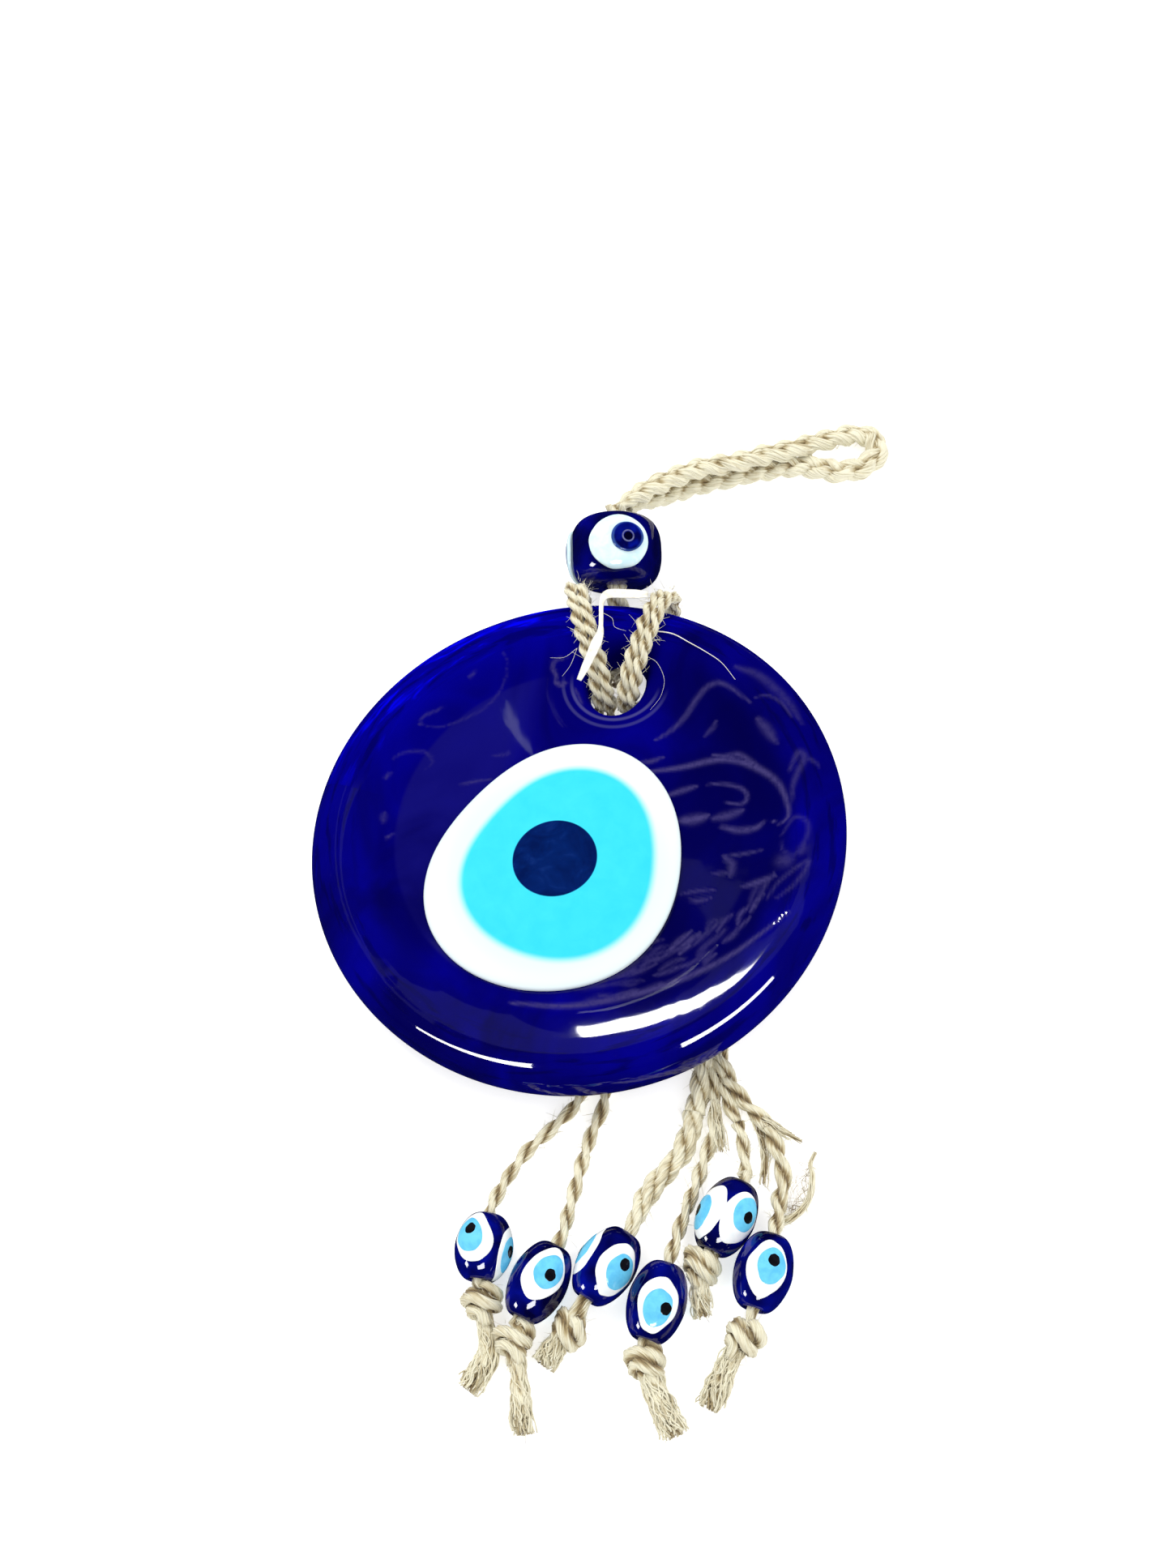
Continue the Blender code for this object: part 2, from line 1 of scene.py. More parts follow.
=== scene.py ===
"""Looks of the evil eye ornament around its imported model: poured glass, painted beads and jute cords.

The ornament lies on its back on a pale floor. The origin is the middle of the disc's back, +Z points out of
its face and +Y points to the hanging hole. Meshes are in metres, and places in tables are in millimetres.
"""

import json
import math

import bpy
import bmesh
import numpy as np
from mathutils import Matrix, Vector, noise
from mathutils.geometry import delaunay_2d_cdt

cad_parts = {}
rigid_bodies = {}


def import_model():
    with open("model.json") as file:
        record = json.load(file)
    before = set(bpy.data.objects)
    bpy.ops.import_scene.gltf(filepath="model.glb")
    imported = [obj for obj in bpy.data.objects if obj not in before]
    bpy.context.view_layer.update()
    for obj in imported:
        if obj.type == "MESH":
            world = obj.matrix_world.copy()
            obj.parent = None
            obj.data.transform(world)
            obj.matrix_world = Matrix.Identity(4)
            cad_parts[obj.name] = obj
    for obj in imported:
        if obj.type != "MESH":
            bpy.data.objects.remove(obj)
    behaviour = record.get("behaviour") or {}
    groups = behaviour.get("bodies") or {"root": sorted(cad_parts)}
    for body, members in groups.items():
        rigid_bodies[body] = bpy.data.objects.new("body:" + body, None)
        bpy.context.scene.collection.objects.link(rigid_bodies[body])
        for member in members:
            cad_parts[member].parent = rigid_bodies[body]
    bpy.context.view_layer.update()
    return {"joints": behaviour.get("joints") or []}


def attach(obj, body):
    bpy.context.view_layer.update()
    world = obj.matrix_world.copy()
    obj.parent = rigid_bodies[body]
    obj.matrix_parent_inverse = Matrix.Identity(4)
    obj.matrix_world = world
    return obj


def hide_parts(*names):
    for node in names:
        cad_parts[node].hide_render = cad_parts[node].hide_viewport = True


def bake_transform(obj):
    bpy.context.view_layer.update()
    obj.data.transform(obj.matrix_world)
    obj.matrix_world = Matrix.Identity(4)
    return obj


MM = 0.001
TAU = 2 * math.pi
UP = np.array((0.0, 0.0, 1.0))
FLOOR = -3.8 * MM
HOLE_CENTRE = (0.0, 35.6)

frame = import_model()
random = np.random.default_rng(11)
joints = {joint["name"]: joint for joint in frame["joints"]}


def point(x, y, z=0.0):
    """A position given in millimetres."""
    return np.array((x, y, z)) * MM


def unit(vector):
    return vector / np.linalg.norm(vector)


def pivot(joint):
    return np.array(joints[joint]["pos_m"], float)


def axis_of(joint):
    return unit(np.array(joints[joint]["axis"], float))


def wavy(waves, angle):
    """A mean with slow waves round a circle, each given by its size and its peak in degrees, at an angle."""
    mean, *rest = waves
    heights = (size * math.cos(k * (angle - math.radians(peak))) for k, (size, peak) in enumerate(rest, 1))
    return mean + sum(heights)


# ---------------------------------------------------------------- materials


class Graph:
    """Short calls for building one material's nodes."""

    def __init__(self, name):
        self.material = bpy.data.materials.new(name)
        self.material.use_nodes = True
        self.tree = self.material.node_tree
        self.shader = self.tree.nodes["Principled BSDF"]

    def feed(self, socket, value):
        if isinstance(value, bpy.types.NodeSocket):
            self.tree.links.new(value, socket)
        elif isinstance(value, tuple) and len(value) == 3 and socket.type == "RGBA":
            socket.default_value = (*value, 1.0)
        else:
            socket.default_value = value

    def add(self, kind, inputs, **settings):
        node = self.tree.nodes.new("ShaderNode" + kind)
        for name, value in settings.items():
            setattr(node, name, value)
        for name, value in inputs.items():
            self.feed(node.inputs[name], value)
        return node

    def math(self, operation, *values):
        return self.add("Math", dict(enumerate(values)), operation=operation).outputs[0]

    def times(self, product, *others):
        for other in others:
            product = self.math("MULTIPLY", product, other)
        return product

    def apart(self, value, centre):
        """How far a value is from a centre, to either side."""
        return self.math("ABSOLUTE", self.math("SUBTRACT", value, centre))

    def length(self, x, y):
        return self.math("SQRT", self.math("ADD", self.times(x, x), self.times(y, y)))

    def place(self):
        """The position in the row frame, carried with the piece."""
        return self.add("TexCoord", {}).outputs["Object"]

    def trait(self, name, output="Fac"):
        """What a mesh stores at its points under a name."""
        return self.add("Attribute", {}, attribute_name=name).outputs[output]

    def split(self, vector):
        return self.add("SeparateXYZ", {0: vector}).outputs

    def join(self, *values):
        return self.add("CombineXYZ", dict(enumerate(values))).outputs[0]

    def noise(self, vector, scale, detail=2.0, roughness=0.5, distortion=0.0):
        inputs = {"Vector": vector, "Scale": scale, "Detail": detail, "Roughness": roughness}
        return self.add("TexNoise", {**inputs, "Distortion": distortion}).outputs[0]

    def ramp(self, factor, *stops):
        node = self.add("ValToRGB", {"Fac": factor})
        elements = node.color_ramp.elements
        while len(elements) < len(stops):
            elements.new(0.5)
        for element, (place, colour) in zip(elements, stops):
            element.position = place
            element.color = (*colour, 1.0)
        return node.outputs[0]

    def mix(self, factor, a, b):
        return self.add("Mix", {0: factor, 6: a, 7: b}, data_type="RGBA").outputs[2]

    def range(self, value, low, high, to_low=0.0, to_high=1.0):
        inputs = dict(enumerate((value, low, high, to_low, to_high)))
        return self.add("MapRange", inputs, interpolation_type="SMOOTHSTEP").outputs[0]

    def bump(self, height, strength, distance):
        return self.add("Bump", {"Height": height, "Strength": strength, "Distance": distance}).outputs[0]

    def finish(self, **sockets):
        for name, value in sockets.items():
            self.feed(self.shader.inputs[name.replace("_", " ")], value)
        return self.material

    def glossy(self, colour, roughness, scale, strength, distance):
        """Hard and glossy, with slight waves."""
        waves = self.bump(self.noise(self.place(), scale), strength, distance)
        return self.finish(Base_Color=colour, Roughness=roughness, IOR=1.5, Normal=waves)


def cobalt_glass():
    """Deep cobalt glass of the disc, with a painted glow of light through the glass along the upper left of
    its rim, painted shade on the right of the dish, painted reflections left of the eye and round the hole,
    and wisps that are partly streaks in the glass and partly painted reflection.
    """
    g = Graph("cobalt glass")
    place = g.place()
    x, y, z = g.split(place)
    radius = g.length(x, y)
    angle = g.math("ARCTAN2", y, x)
    cloud = g.noise(g.join(g.times(x, 1.6), y, z), 34.0, 3.0, 0.5, 1.2)
    deep, middle, light = (0.0009, 0.0003, 0.072), (0.001, 0.0003, 0.125), (0.001, 0.0003, 0.2)
    glass = g.ramp(cloud, (0.34, deep), (0.52, middle), (0.72, light))
    # Painted shade: the right of the dish, inside the rim, is darkened
    right = g.times(g.range(x, 0.008, 0.026), g.range(radius, 0.047, 0.041), 0.75)
    glass = g.mix(right, glass, (0.0006, 0.0002, 0.04))
    # Painted light: a glow of light through the glass along the upper left of the rim, with brighter painted
    # streaks in it
    thin = g.times(g.range(g.apart(angle, math.radians(128.0)), 1.1, 0.3), g.range(radius, 0.036, 0.049))
    glass = g.mix(g.times(thin, 0.55), glass, (0.001, 0.0004, 0.3))
    streaks = g.noise(g.join(g.times(angle, 3.2), g.times(radius, 520.0), 0.0), 1.0, 3.0, 0.6, 0.4)
    bright = g.times(g.range(streaks, 0.52, 0.66), thin, g.range(radius, 0.0445, 0.0475), 0.9)
    glass = g.mix(bright, glass, (0.001, 0.001, 0.75))
    dark = g.times(g.range(streaks, 0.48, 0.36), g.range(radius, 0.0435, 0.0475), 0.6)
    glass = g.mix(dark, glass, (0.0008, 0.0004, 0.045))
    # Painted reflection: a soft paler band in the dish left of the eye
    left = g.times(g.range(x, -0.012, -0.02), g.range(radius, 0.0375, 0.0365))
    left = g.times(left, g.range(cloud, 0.3, 0.6, 0.2, 0.7))
    glass = g.mix(left, glass, (0.006, 0.005, 0.13))
    from_hole = g.length(x, g.math("SUBTRACT", y, HOLE_CENTRE[1] * MM))
    # Painted reflections: two pale rings round the lower side of the hole
    for ring_radius, strength in ((0.0094, 0.5), (0.0112, 0.3)):
        ring = g.range(g.apart(from_hole, ring_radius), 0.00055, 0.0001, 0.0, strength)
        glass = g.mix(g.times(ring, g.range(y, 0.036, 0.03)), glass, (0.09, 0.085, 0.24))
    # The wisps' paler colour is partly streaks in the glass and partly painted reflection
    wisp = g.trait("wisp")
    wisp_and_reflection = g.times(wisp, g.range(g.noise(place, 900.0, 2.0, 0.6), 0.25, 0.6, 0.6, 1.0))
    glass = g.mix(wisp_and_reflection, glass, (0.05, 0.04, 0.15))
    height = g.math("MULTIPLY_ADD", wisp, 0.35, g.times(g.noise(place, 60.0, 2.0, 0.5, 0.6), 0.5))
    # The gloss fades near the hole, on the upper left of the rim where the glow is painted, in the rim's
    # crease and on the upper half
    gloss = g.times(
        g.range(from_hole, 0.013, 0.02, 0.04, 1.0),
        g.range(thin, 0.0, 0.25, 1.0, 0.06),
        g.range(g.apart(radius, 0.0386), 0.0012, 0.0026, 0.03, 1.0),
        g.range(y, -0.002, 0.01, 1.0, 0.03),
        0.5,
    )
    g.finish(Base_Color=glass, Roughness=0.03, IOR=1.5, Specular_IOR_Level=gloss)
    return g.finish(Normal=g.bump(height, 0.12, 0.0006))


# The outlines of the large eye's layers: the mean radius and the waves round it, in millimetres
WAVES = {
    "white": (26.4, (1.0, 119), (1.6, 70), (1.0, 86)),
    "iris": (20.2, (1.2, 35), (1.1, 79), (0.9, 82)),
    "pupil": (8.4, (1.4, 106)),
}
EYE_CENTRE = (-0.8 * MM, -10.0 * MM)


def eye_glass():
    """The fused layers of the large eye. White runs softly into turquoise, and the pupil's edge is crisp."""
    g = Graph("layered eye glass")
    place = g.place()
    x, y, _ = g.split(place)
    x = g.math("SUBTRACT", x, EYE_CENTRE[0])
    y = g.math("SUBTRACT", y, EYE_CENTRE[1])
    radius = g.length(x, y)
    angle = g.math("ARCTAN2", y, x)

    def beyond(name, soft):
        """0 inside a layer's outline and 1 outside it, over a soft width."""
        mean, *waves = WAVES[name]
        edge = mean * MM
        for k, (size, peak) in enumerate(waves, 1):
            turned = g.times(g.math("SUBTRACT", angle, math.radians(peak)), float(k))
            edge = g.math("MULTIPLY_ADD", g.math("COSINE", turned), size * MM, edge)
        return g.range(g.math("SUBTRACT", radius, edge), -soft, soft)

    # The pupil's paler patches are partly swirls in the glass and partly a painted reflection
    swirls_and_reflection = g.noise(place, 120.0, 3.0, 0.6, 2.0)
    deep, middle, light = (0.0004, 0.007, 0.07), (0.0006, 0.012, 0.105), (0.006, 0.028, 0.17)
    navy = g.ramp(swirls_and_reflection, (0.35, deep), (0.6, middle), (0.8, light))
    grain = g.noise(place, 260.0, 3.0, 0.6, 0.5)
    turquoise = g.ramp(grain, (0.3, (0.035, 0.62, 0.87)), (0.7, (0.045, 0.66, 0.92)))
    milk = g.mix(g.range(radius, 0.0195, 0.0265), (0.7, 0.96, 0.98), (0.84, 0.93, 0.95))
    colour = g.mix(beyond("iris", 1.0 * MM), turquoise, milk)
    colour = g.mix(beyond("pupil", 0.12 * MM), navy, colour)
    return g.glossy(colour, 0.07, 120.0, 0.05, 0.001)


def bead_glass(name, dark, bright, scale):
    """Glossy blue glass with clearer and darker patches."""
    g = Graph(name)
    middle = tuple(0.6 * d + 0.4 * b for d, b in zip(dark, bright))
    patch = g.noise(g.place(), scale, 2.0, 0.5, 0.6)
    return g.glossy(g.ramp(patch, (0.36, dark), (0.56, middle), (0.74, bright)), 0.05, 420.0, 0.08, 0.0004)


def enamel(name, colour, shade, roughness=0.12):
    """Thick glossy enamel whose colour thins a little here and there."""
    g = Graph(name)
    patch = g.noise(g.place(), 480.0, 3.0, 0.6, 0.4)
    return g.glossy(g.ramp(patch, (0.35, shade), (0.6, colour)), roughness, 700.0, 0.12, 0.0003)


def clear_pupil():
    """Deep blue glass of the large bead's pupils, with a dark core inside a pale ring of painted reflection.
    """
    g = Graph("clear blue glass")
    place = g.place()
    span = g.trait("span")
    patch = g.noise(place, 300.0, 2.0, 0.5, 0.6)
    colour = g.ramp(patch, (0.4, (0.0006, 0.001, 0.06)), (0.62, (0.001, 0.006, 0.22)))
    colour = g.mix(g.range(span, 0.3, 0.24), colour, (0.0004, 0.0004, 0.012))
    # Painted reflection: a pale ring round the core, broken here and there by noise
    ring = g.range(g.apart(span, 0.36), 0.07, 0.02, 0.0, 0.65)
    reflection_breaks = g.range(g.noise(place, 900.0), 0.3, 0.6, 0.5, 1.0)
    colour = g.mix(g.times(ring, reflection_breaks), colour, (0.22, 0.24, 0.42))
    colour = g.mix(g.range(span, 0.86, 1.0, 0.0, 0.6), colour, (0.05, 0.12, 0.4))
    return g.finish(Base_Color=colour, Roughness=0.03, IOR=1.5)


def jute():
    """Jute fibre: each strand has its own tint and streaks along it, with painted shade in the hollows and
    painted highlights on the crowns.
    """
    g = Graph("jute")
    tint, along, depth = g.split(g.trait("strand", "Vector"))
    streaks = g.noise(g.join(g.times(tint, 60.0), g.times(along, 300.0), 0.0), 1.0, 3.0, 0.65)
    blotches = g.noise(g.place(), 260.0)
    light = -0.04
    # The depth term paints shade into the hollows between strands and highlights on their crowns
    for cause, share in ((g.range(depth, 0.4, 0.95), 0.38), (streaks, 0.34), (blotches, 0.42), (tint, 0.2)):
        light = g.math("MULTIPLY_ADD", cause, share, light)
    brown, tan = (0.12, 0.074, 0.03), (0.31, 0.225, 0.11)
    gold, straw = (0.51, 0.425, 0.245), (0.83, 0.79, 0.61)
    colour = g.ramp(light, (0.26, brown), (0.45, tan), (0.62, gold), (0.84, straw))
    g.finish(Sheen_Weight=0.3, Sheen_Roughness=0.4)
    return g.finish(Base_Color=colour, Roughness=0.55, Specular_IOR_Level=0.4)


def pale_fibre():
    g = Graph("pale fibre")
    colour = g.ramp(g.noise(g.place(), 900.0), (0.3, (0.8, 0.74, 0.6)), (0.6, (0.97, 0.95, 0.88)))
    return g.finish(Base_Color=colour, Roughness=0.5)


COBALT = cobalt_glass()
EYE = eye_glass()
BEAD = bead_glass("blue bead glass", (0.0006, 0.0005, 0.028), (0.001, 0.004, 0.26), 150.0)
TOP_BEAD = bead_glass("large bead glass", (0.0006, 0.0005, 0.036), (0.001, 0.001, 0.2), 110.0)
WHITE = enamel("white enamel", (0.95, 0.96, 0.95), (0.86, 0.92, 0.94))
MILK = enamel("milk glass", (0.78, 0.95, 0.98), (0.66, 0.9, 0.97), 0.08)
SKY = enamel("sky enamel", (0.16, 0.62, 0.9), (0.11, 0.5, 0.82))
BLACK = enamel("black enamel", (0.004, 0.004, 0.006), (0.01, 0.01, 0.014))
PUPIL = clear_pupil()
JUTE = jute()
PALE = pale_fibre()


# ---------------------------------------------------------------- meshes


def add_object(name, data):
    obj = bpy.data.objects.new(name, data)
    bpy.context.scene.collection.objects.link(obj)
    return obj


def store(mesh, name, values):
    """Stores a number or a vector at each of a mesh's points."""
    values = np.asarray(values, np.float32)
    kind, field = ("FLOAT", "value") if values.ndim == 1 else ("FLOAT_VECTOR", "vector")
    mesh.attributes.new(name, kind, "POINT").data.foreach_set(field, values.ravel())


def make_piece(name, vertices, faces, surface, slot, body=None, replaced=(), **traits):
    """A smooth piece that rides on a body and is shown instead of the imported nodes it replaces."""
    mesh = bpy.data.meshes.new(name)
    mesh.from_pydata([tuple(v) for v in vertices], [], faces)
    mesh.materials.append(surface)
    for trait, values in traits.items():
        store(mesh, trait, values)
    mesh.shade_smooth()
    obj = add_object(name, mesh)
    if body:
        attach(obj, body)
    if replaced:
        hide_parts(*replaced)
    return obj


def weld(obj, reach=0.0001 * MM):
    """Joins points that coincide and turns every face outwards."""
    editable = bmesh.new()
    editable.from_mesh(obj.data)
    bmesh.ops.remove_doubles(editable, verts=editable.verts, dist=reach)
    bmesh.ops.recalc_face_normals(editable, faces=editable.faces)
    editable.to_mesh(obj.data)
    editable.free()
    obj.data.shade_smooth()


def skin(rings, around=False):
    """Vertices and faces of a solid between equally long rings, capped unless it runs all the way around."""
    rings = np.asarray(rings)
    count, size = rings.shape[:2]
    faces = []
    for i in range(count if around else count - 1):
        low, high = i * size, (i + 1) % count * size
        for j in range(size):
            k = (j + 1) % size
            faces.append((low + j, low + k, high + k, high + j))
    if not around:
        faces.append(tuple(range(size))[::-1])
        faces.append(tuple(range((count - 1) * size, count * size)))
    return rings.reshape(-1, 3), faces


# ---------------------------------------------------------------- glass disc

# In millimetres
DISC_RADIUS = 55.0
DISC_WAVES = (54.7, (0.4, -41), (0.0, 0), (0.3, -56))
HOLE_SIZE = (6.0, 7.6)
HOLE_TOP = 5.2
HOLE_BOTTOM = 1.5
BACK_CHAMFER = 0.6
CREST_RADIUS = 50.5
RIM_HEIGHT = 10.6
RIM_FOOT = 39.5
RIM_SLOPE = math.radians(15.5)
EDGE_SIZE = (4.5, 5.05)
EDGE_MIDDLE = RIM_HEIGHT - EDGE_SIZE[1]
SHEET_EDGE = 52.6  # where the front and the back meet the rounded rim
RIM_COUNT = 360
HOLE_COUNT = 128


def face_slope(radius):
    """How steeply the face rises: flat in the dish, then a crease, then easing off to the rim's crest."""
    dish = np.interp(radius, (0.0, 30.0, 38.0, RIM_FOOT), (0.0, 0.0, math.radians(3.0), RIM_SLOPE))
    rim = RIM_SLOPE * (1 - ((radius - RIM_FOOT) / (CREST_RADIUS - RIM_FOOT)) ** 3)
    return np.where(radius > RIM_FOOT, rim, dish)


def disc_profile():
    """(radius, height) from the dish's centre over the rim and round the edge to the back's centre."""
    step = 0.1
    radii = np.arange(0.0, CREST_RADIUS, step)
    heights = RIM_HEIGHT - np.cumsum(np.tan(face_slope(radii))[::-1] * step)[::-1]
    corner = np.radians(np.arange(90.0, -81.0, -1.5))
    wide, high = EDGE_SIZE
    edge = np.column_stack([CREST_RADIUS + wide * np.cos(corner), EDGE_MIDDLE + high * np.sin(corner)])
    back = np.array([(49.5, 0.5), (9.0, 0.0), (0.0, 0.0)])
    return np.vstack([np.column_stack([radii, heights]), edge, back])


PROFILE = disc_profile()
WIDEST = int(np.argmax(PROFILE[:, 0]))
FRONT = PROFILE[:WIDEST]
BACK = PROFILE[WIDEST:][::-1]


def hole_distance(x, y):
    """How far a point lies outside the hole's edge."""
    dx, dy = x - HOLE_CENTRE[0], y - HOLE_CENTRE[1]
    share = math.hypot(dx / HOLE_SIZE[0], dy / HOLE_SIZE[1])
    return math.hypot(dx, dy) * (1 - 1 / max(share, 1e-6))


def disc_scale(angle):
    """How far the hand-poured disc's outline stands out of round at an angle."""
    return wavy(DISC_WAVES, angle) / DISC_RADIUS


def round_radius(x, y):
    return math.hypot(x, y) / disc_scale(math.atan2(y, x))


def front_height(x, y):
    """Height of the disc's face, with its flared hole, the low collar round it and the pour's slow waves."""
    radius = round_radius(x, y)
    plain = float(np.interp(radius, FRONT[:, 0], FRONT[:, 1]))
    wave = 0.03 * noise.noise(Vector((x / 15, y / 15, 0.3)))
    gap = hole_distance(x, y)
    collar = 0.16 * math.exp(-(((gap - 3.6) / 1.5) ** 2)) + 0.05 * math.exp(-(((gap - 7.0) / 1.2) ** 2))
    plain += wave + collar * min(1.0, max(0.0, (50 - radius) / 6))
    flare = HOLE_TOP + 2.9 * math.sqrt(max(gap, 0.0))
    rounding = 0.3
    return -rounding * math.log(math.exp(-plain / rounding) + math.exp(-flare / rounding))


def back_height(x, y):
    """Height of the disc's back, flat in the middle and slightly wavy outside that."""
    radius = round_radius(x, y)
    plain = float(np.interp(radius, BACK[:, 0], BACK[:, 1]))
    if radius < 10:
        return plain
    return plain + 0.04 * min(1.0, (radius - 10) / 8) * noise.noise(Vector((x / 9, y / 9, 8.0)))


def hole_ring(grow):
    """Points round the hole, a distance outside its edge."""
    turns = [TAU * i / HOLE_COUNT for i in range(HOLE_COUNT)]
    (x, y), (wide, long) = HOLE_CENTRE, HOLE_SIZE
    return [(x + (wide + grow) * math.cos(turn), y + (long + grow) * math.sin(turn)) for turn in turns]


def disc_ring(radius, count):
    made = []
    for i in range(count):
        angle = TAU * i / count
        r = radius * disc_scale(angle)
        made.append((r * math.cos(angle), r * math.sin(angle)))
    return made


def disc_sheet(height, chamfer, step, spacing):
    """Points and faces of the disc's front or back, open at its edge and at the hole. Its points lie on rings
    a step apart, with a spacing along them."""
    grows = [chamfer + g for g in (0, 0.06, 0.16, 0.3, 0.48, 0.7, 0.96, 1.27, 1.62, 2.02)]
    grows += [chamfer + g for g in np.arange(2.45, 9.0, 0.45)]
    flat = [p for grow in grows for p in hole_ring(grow) if round_radius(*p) < SHEET_EDGE - 0.3]
    clear = grows[-1] + 0.25
    for radius in [*np.arange(1.0, 10.0, 1.3), *np.arange(10.0, SHEET_EDGE - 0.3, step)]:
        ring = disc_ring(radius, max(12, int(TAU * radius / spacing)))
        flat += [p for p in ring if hole_distance(*p) > clear]
    flat += [*disc_ring(SHEET_EDGE, RIM_COUNT), (0.0, 0.0)]
    points, _, faces, *_ = delaunay_2d_cdt([Vector(p) for p in flat], [], [], 0, 1e-5)
    kept = []
    for face in faces:
        x, y = (sum(points[i][k] for i in face) / 3 for k in (0, 1))
        if hole_distance(x, y) > chamfer and round_radius(x, y) < SHEET_EDGE:
            kept.append(tuple(face))
    return [(x, y, height(x, y)) for x, y in points], kept


# Wisps in the glass, partly streaks in it and partly painted reflection: each one's width and strength, then
# its points in the disc's plane
WISPS = (
    (0.9, 0.7, 11.6, 23.2, 14.2, 26.0, 16.3, 29.7, 17.8, 34.2, 20.0, 37.3, 23.3, 37.6, 29.4, 34.1),
    (1.1, 1.0, 10.9, 15.4, 18.2, 17.9, 25.7, 21.1, 31.9, 20.8, 38.3, 17.4, 41.9, 11.3, 40.9, 8.6,
     39.0, 9.0),
    (1.0, 0.8, 23.9, 21.9, 26.3, 21.9, 29.0, 22.8, 31.7, 21.7, 35.3, 19.8),
    (1.0, 0.8, 16.5, 10.9, 19.4, 12.6, 22.7, 14.5),
    (0.7, 0.8, 24.2, 15.0, 27.7, 15.7, 31.0, 15.4, 32.7, 14.1, 32.5, 12.2, 30.2, 11.6, 28.1, 11.9),
    (1.7, 1.0, 20.6, 6.0, 23.2, 6.7, 26.1, 8.1),
    (1.5, 0.7, 27.1, 7.6, 30.0, 8.9, 32.8, 10.7),
    (1.1, 0.9, 29.0, 6.2, 32.7, 6.0, 36.0, 7.1, 37.6, 9.1),
    (1.6, 0.6, 31.4, 30.9, 33.9, 28.6, 36.5, 25.8),
    (0.6, 0.5, 30.0, 35.4, 32.7, 36.1, 35.9, 34.6, 39.0, 31.4),
    (1.1, 0.5, 40.2, 20.0, 41.3, 24.3, 42.7, 23.2, 42.1, 20.3, 41.6, 16.6, 42.4, 13.2),
    (0.7, 0.4, 42.6, 23.6, 45.3, 22.3, 46.1, 21.3),
    (1.1, 0.8, 36.1, -6.1, 38.9, -4.7, 42.4, -2.7),
    (0.6, 0.6, 30.8, -0.1, 34.5, 1.0, 38.9, 2.7),
    (1.3, 0.6, 31.3, -0.5, 33.1, -1.4, 33.3, -4.4),
    (0.8, 0.5, 29.7, -4.3, 33.1, -3.4),
    (2.5, 0.5, 42.2, 0.3, 44.5, 0.7),
    (1.6, 0.4, 46.1, 2.3, 46.5, 4.2),
    (0.7, 0.6, 24.6, -9.8, 27.5, -8.6, 31.6, -7.4),
    (0.8, 0.7, 26.4, -10.8, 28.4, -10.6, 30.5, -9.5),
    (1.6, 0.4, 24.5, 41.7, 29.3, 40.6, 33.1, 38.3, 37.0, 35.2, 40.8, 30.7),
    (0.8, 0.5, 21.3, 25.9, 22.5, 28.0, 22.9, 29.9),
    (0.8, 0.7, 9.6, 17.7, 11.5, 18.0, 14.1, 19.7),
    (0.8, 0.45, 41.6, -8.1, 43.0, -4.4, 46.4, -0.4, 48.1, 0.5, 46.6, -4.0, 43.6, -7.6, 41.6, -8.1),
    (0.8, 0.35, 41.5, 5.9, 43.3, 10.0, 46.0, 9.2, 46.6, 6.0, 45.1, 2.0, 42.4, 2.8, 41.5, 5.9),
    (0.5, 0.3, -38.1, 17.5, -34.2, 18.0, -29.1, 21.3, -25.1, 25.6, -23.4, 30.8, -23.6, 35.3, -25.2, 37.3),
    (0.5, 0.5, -38.1, 17.5, -37.8, 19.4, -35.3, 21.6, -33.9, 23.1),
    (0.6, 0.5, -30.8, 30.0, -29.6, 32.0),
    (0.6, 0.3, -41.4, 8.6, -39.3, 10.7, -35.6, 11.8, -33.4, 10.0, -34.3, 7.7),
    (0.6, 0.5, -41.9, 3.5, -40.9, 5.6),
    (0.5, 0.7, -37.9, -9.4, -36.6, -7.7),
    (1.1, 0.4, -39.4, -5.7, -39.7, -3.6),
    (0.6, 0.5, -26.2, 5.7, -23.1, 7.1, -20.2, 8.1),
    (0.6, 0.3, -21.0, 13.6, -18.1, 14.5, -18.3, 15.3),
    (0.7, 0.8, -12.7, 32.7, -12.8, 34.5, -14.0, 36.1, -13.7, 37.9, -11.1, 38.8),
    (0.8, 0.9, -12.9, 33.5, -11.4, 32.5, -10.1, 33.6),
    (0.6, 0.6, -8.3, 32.5, -6.4, 29.8, -5.3, 28.6),
    (1.1, 0.9, -2.7, -38.8, 8.3, -37.2, 18.7, -33.2, 27.3, -28.5, 36.2, -22.0, 42.1, -15.7, 46.6, -10.5),
)


def ridge_wisps():
    """Rows of short slanting ridges in the lower right of the dish, beside the rim."""
    made = []
    for row in range(7):
        for spot in range(12):
            turn = math.radians(-70 + 5.4 * spot + 2.5 * random.normal())
            reach = 36.4 - 1.9 * row + 0.5 * random.normal() + 0.42 * spot
            if reach < 25.5 + 1.1 * spot:
                continue
            middle = np.array((reach * math.cos(turn), reach * math.sin(turn)))
            heading = turn + math.pi / 2 - 0.12 + 0.12 * random.normal()
            along = np.array((math.cos(heading), math.sin(heading)))
            half = random.uniform(1.4, 4.6)
            bend = 0.4 * random.normal() * np.array((-along[1], along[0]))
            width, strength = random.uniform(0.7, 1.0), random.uniform(0.3, 0.9)
            ends = middle - half * along, middle + half * along
            made.append((width, strength, *ends[0], *(middle + bend), *ends[1]))
    return made


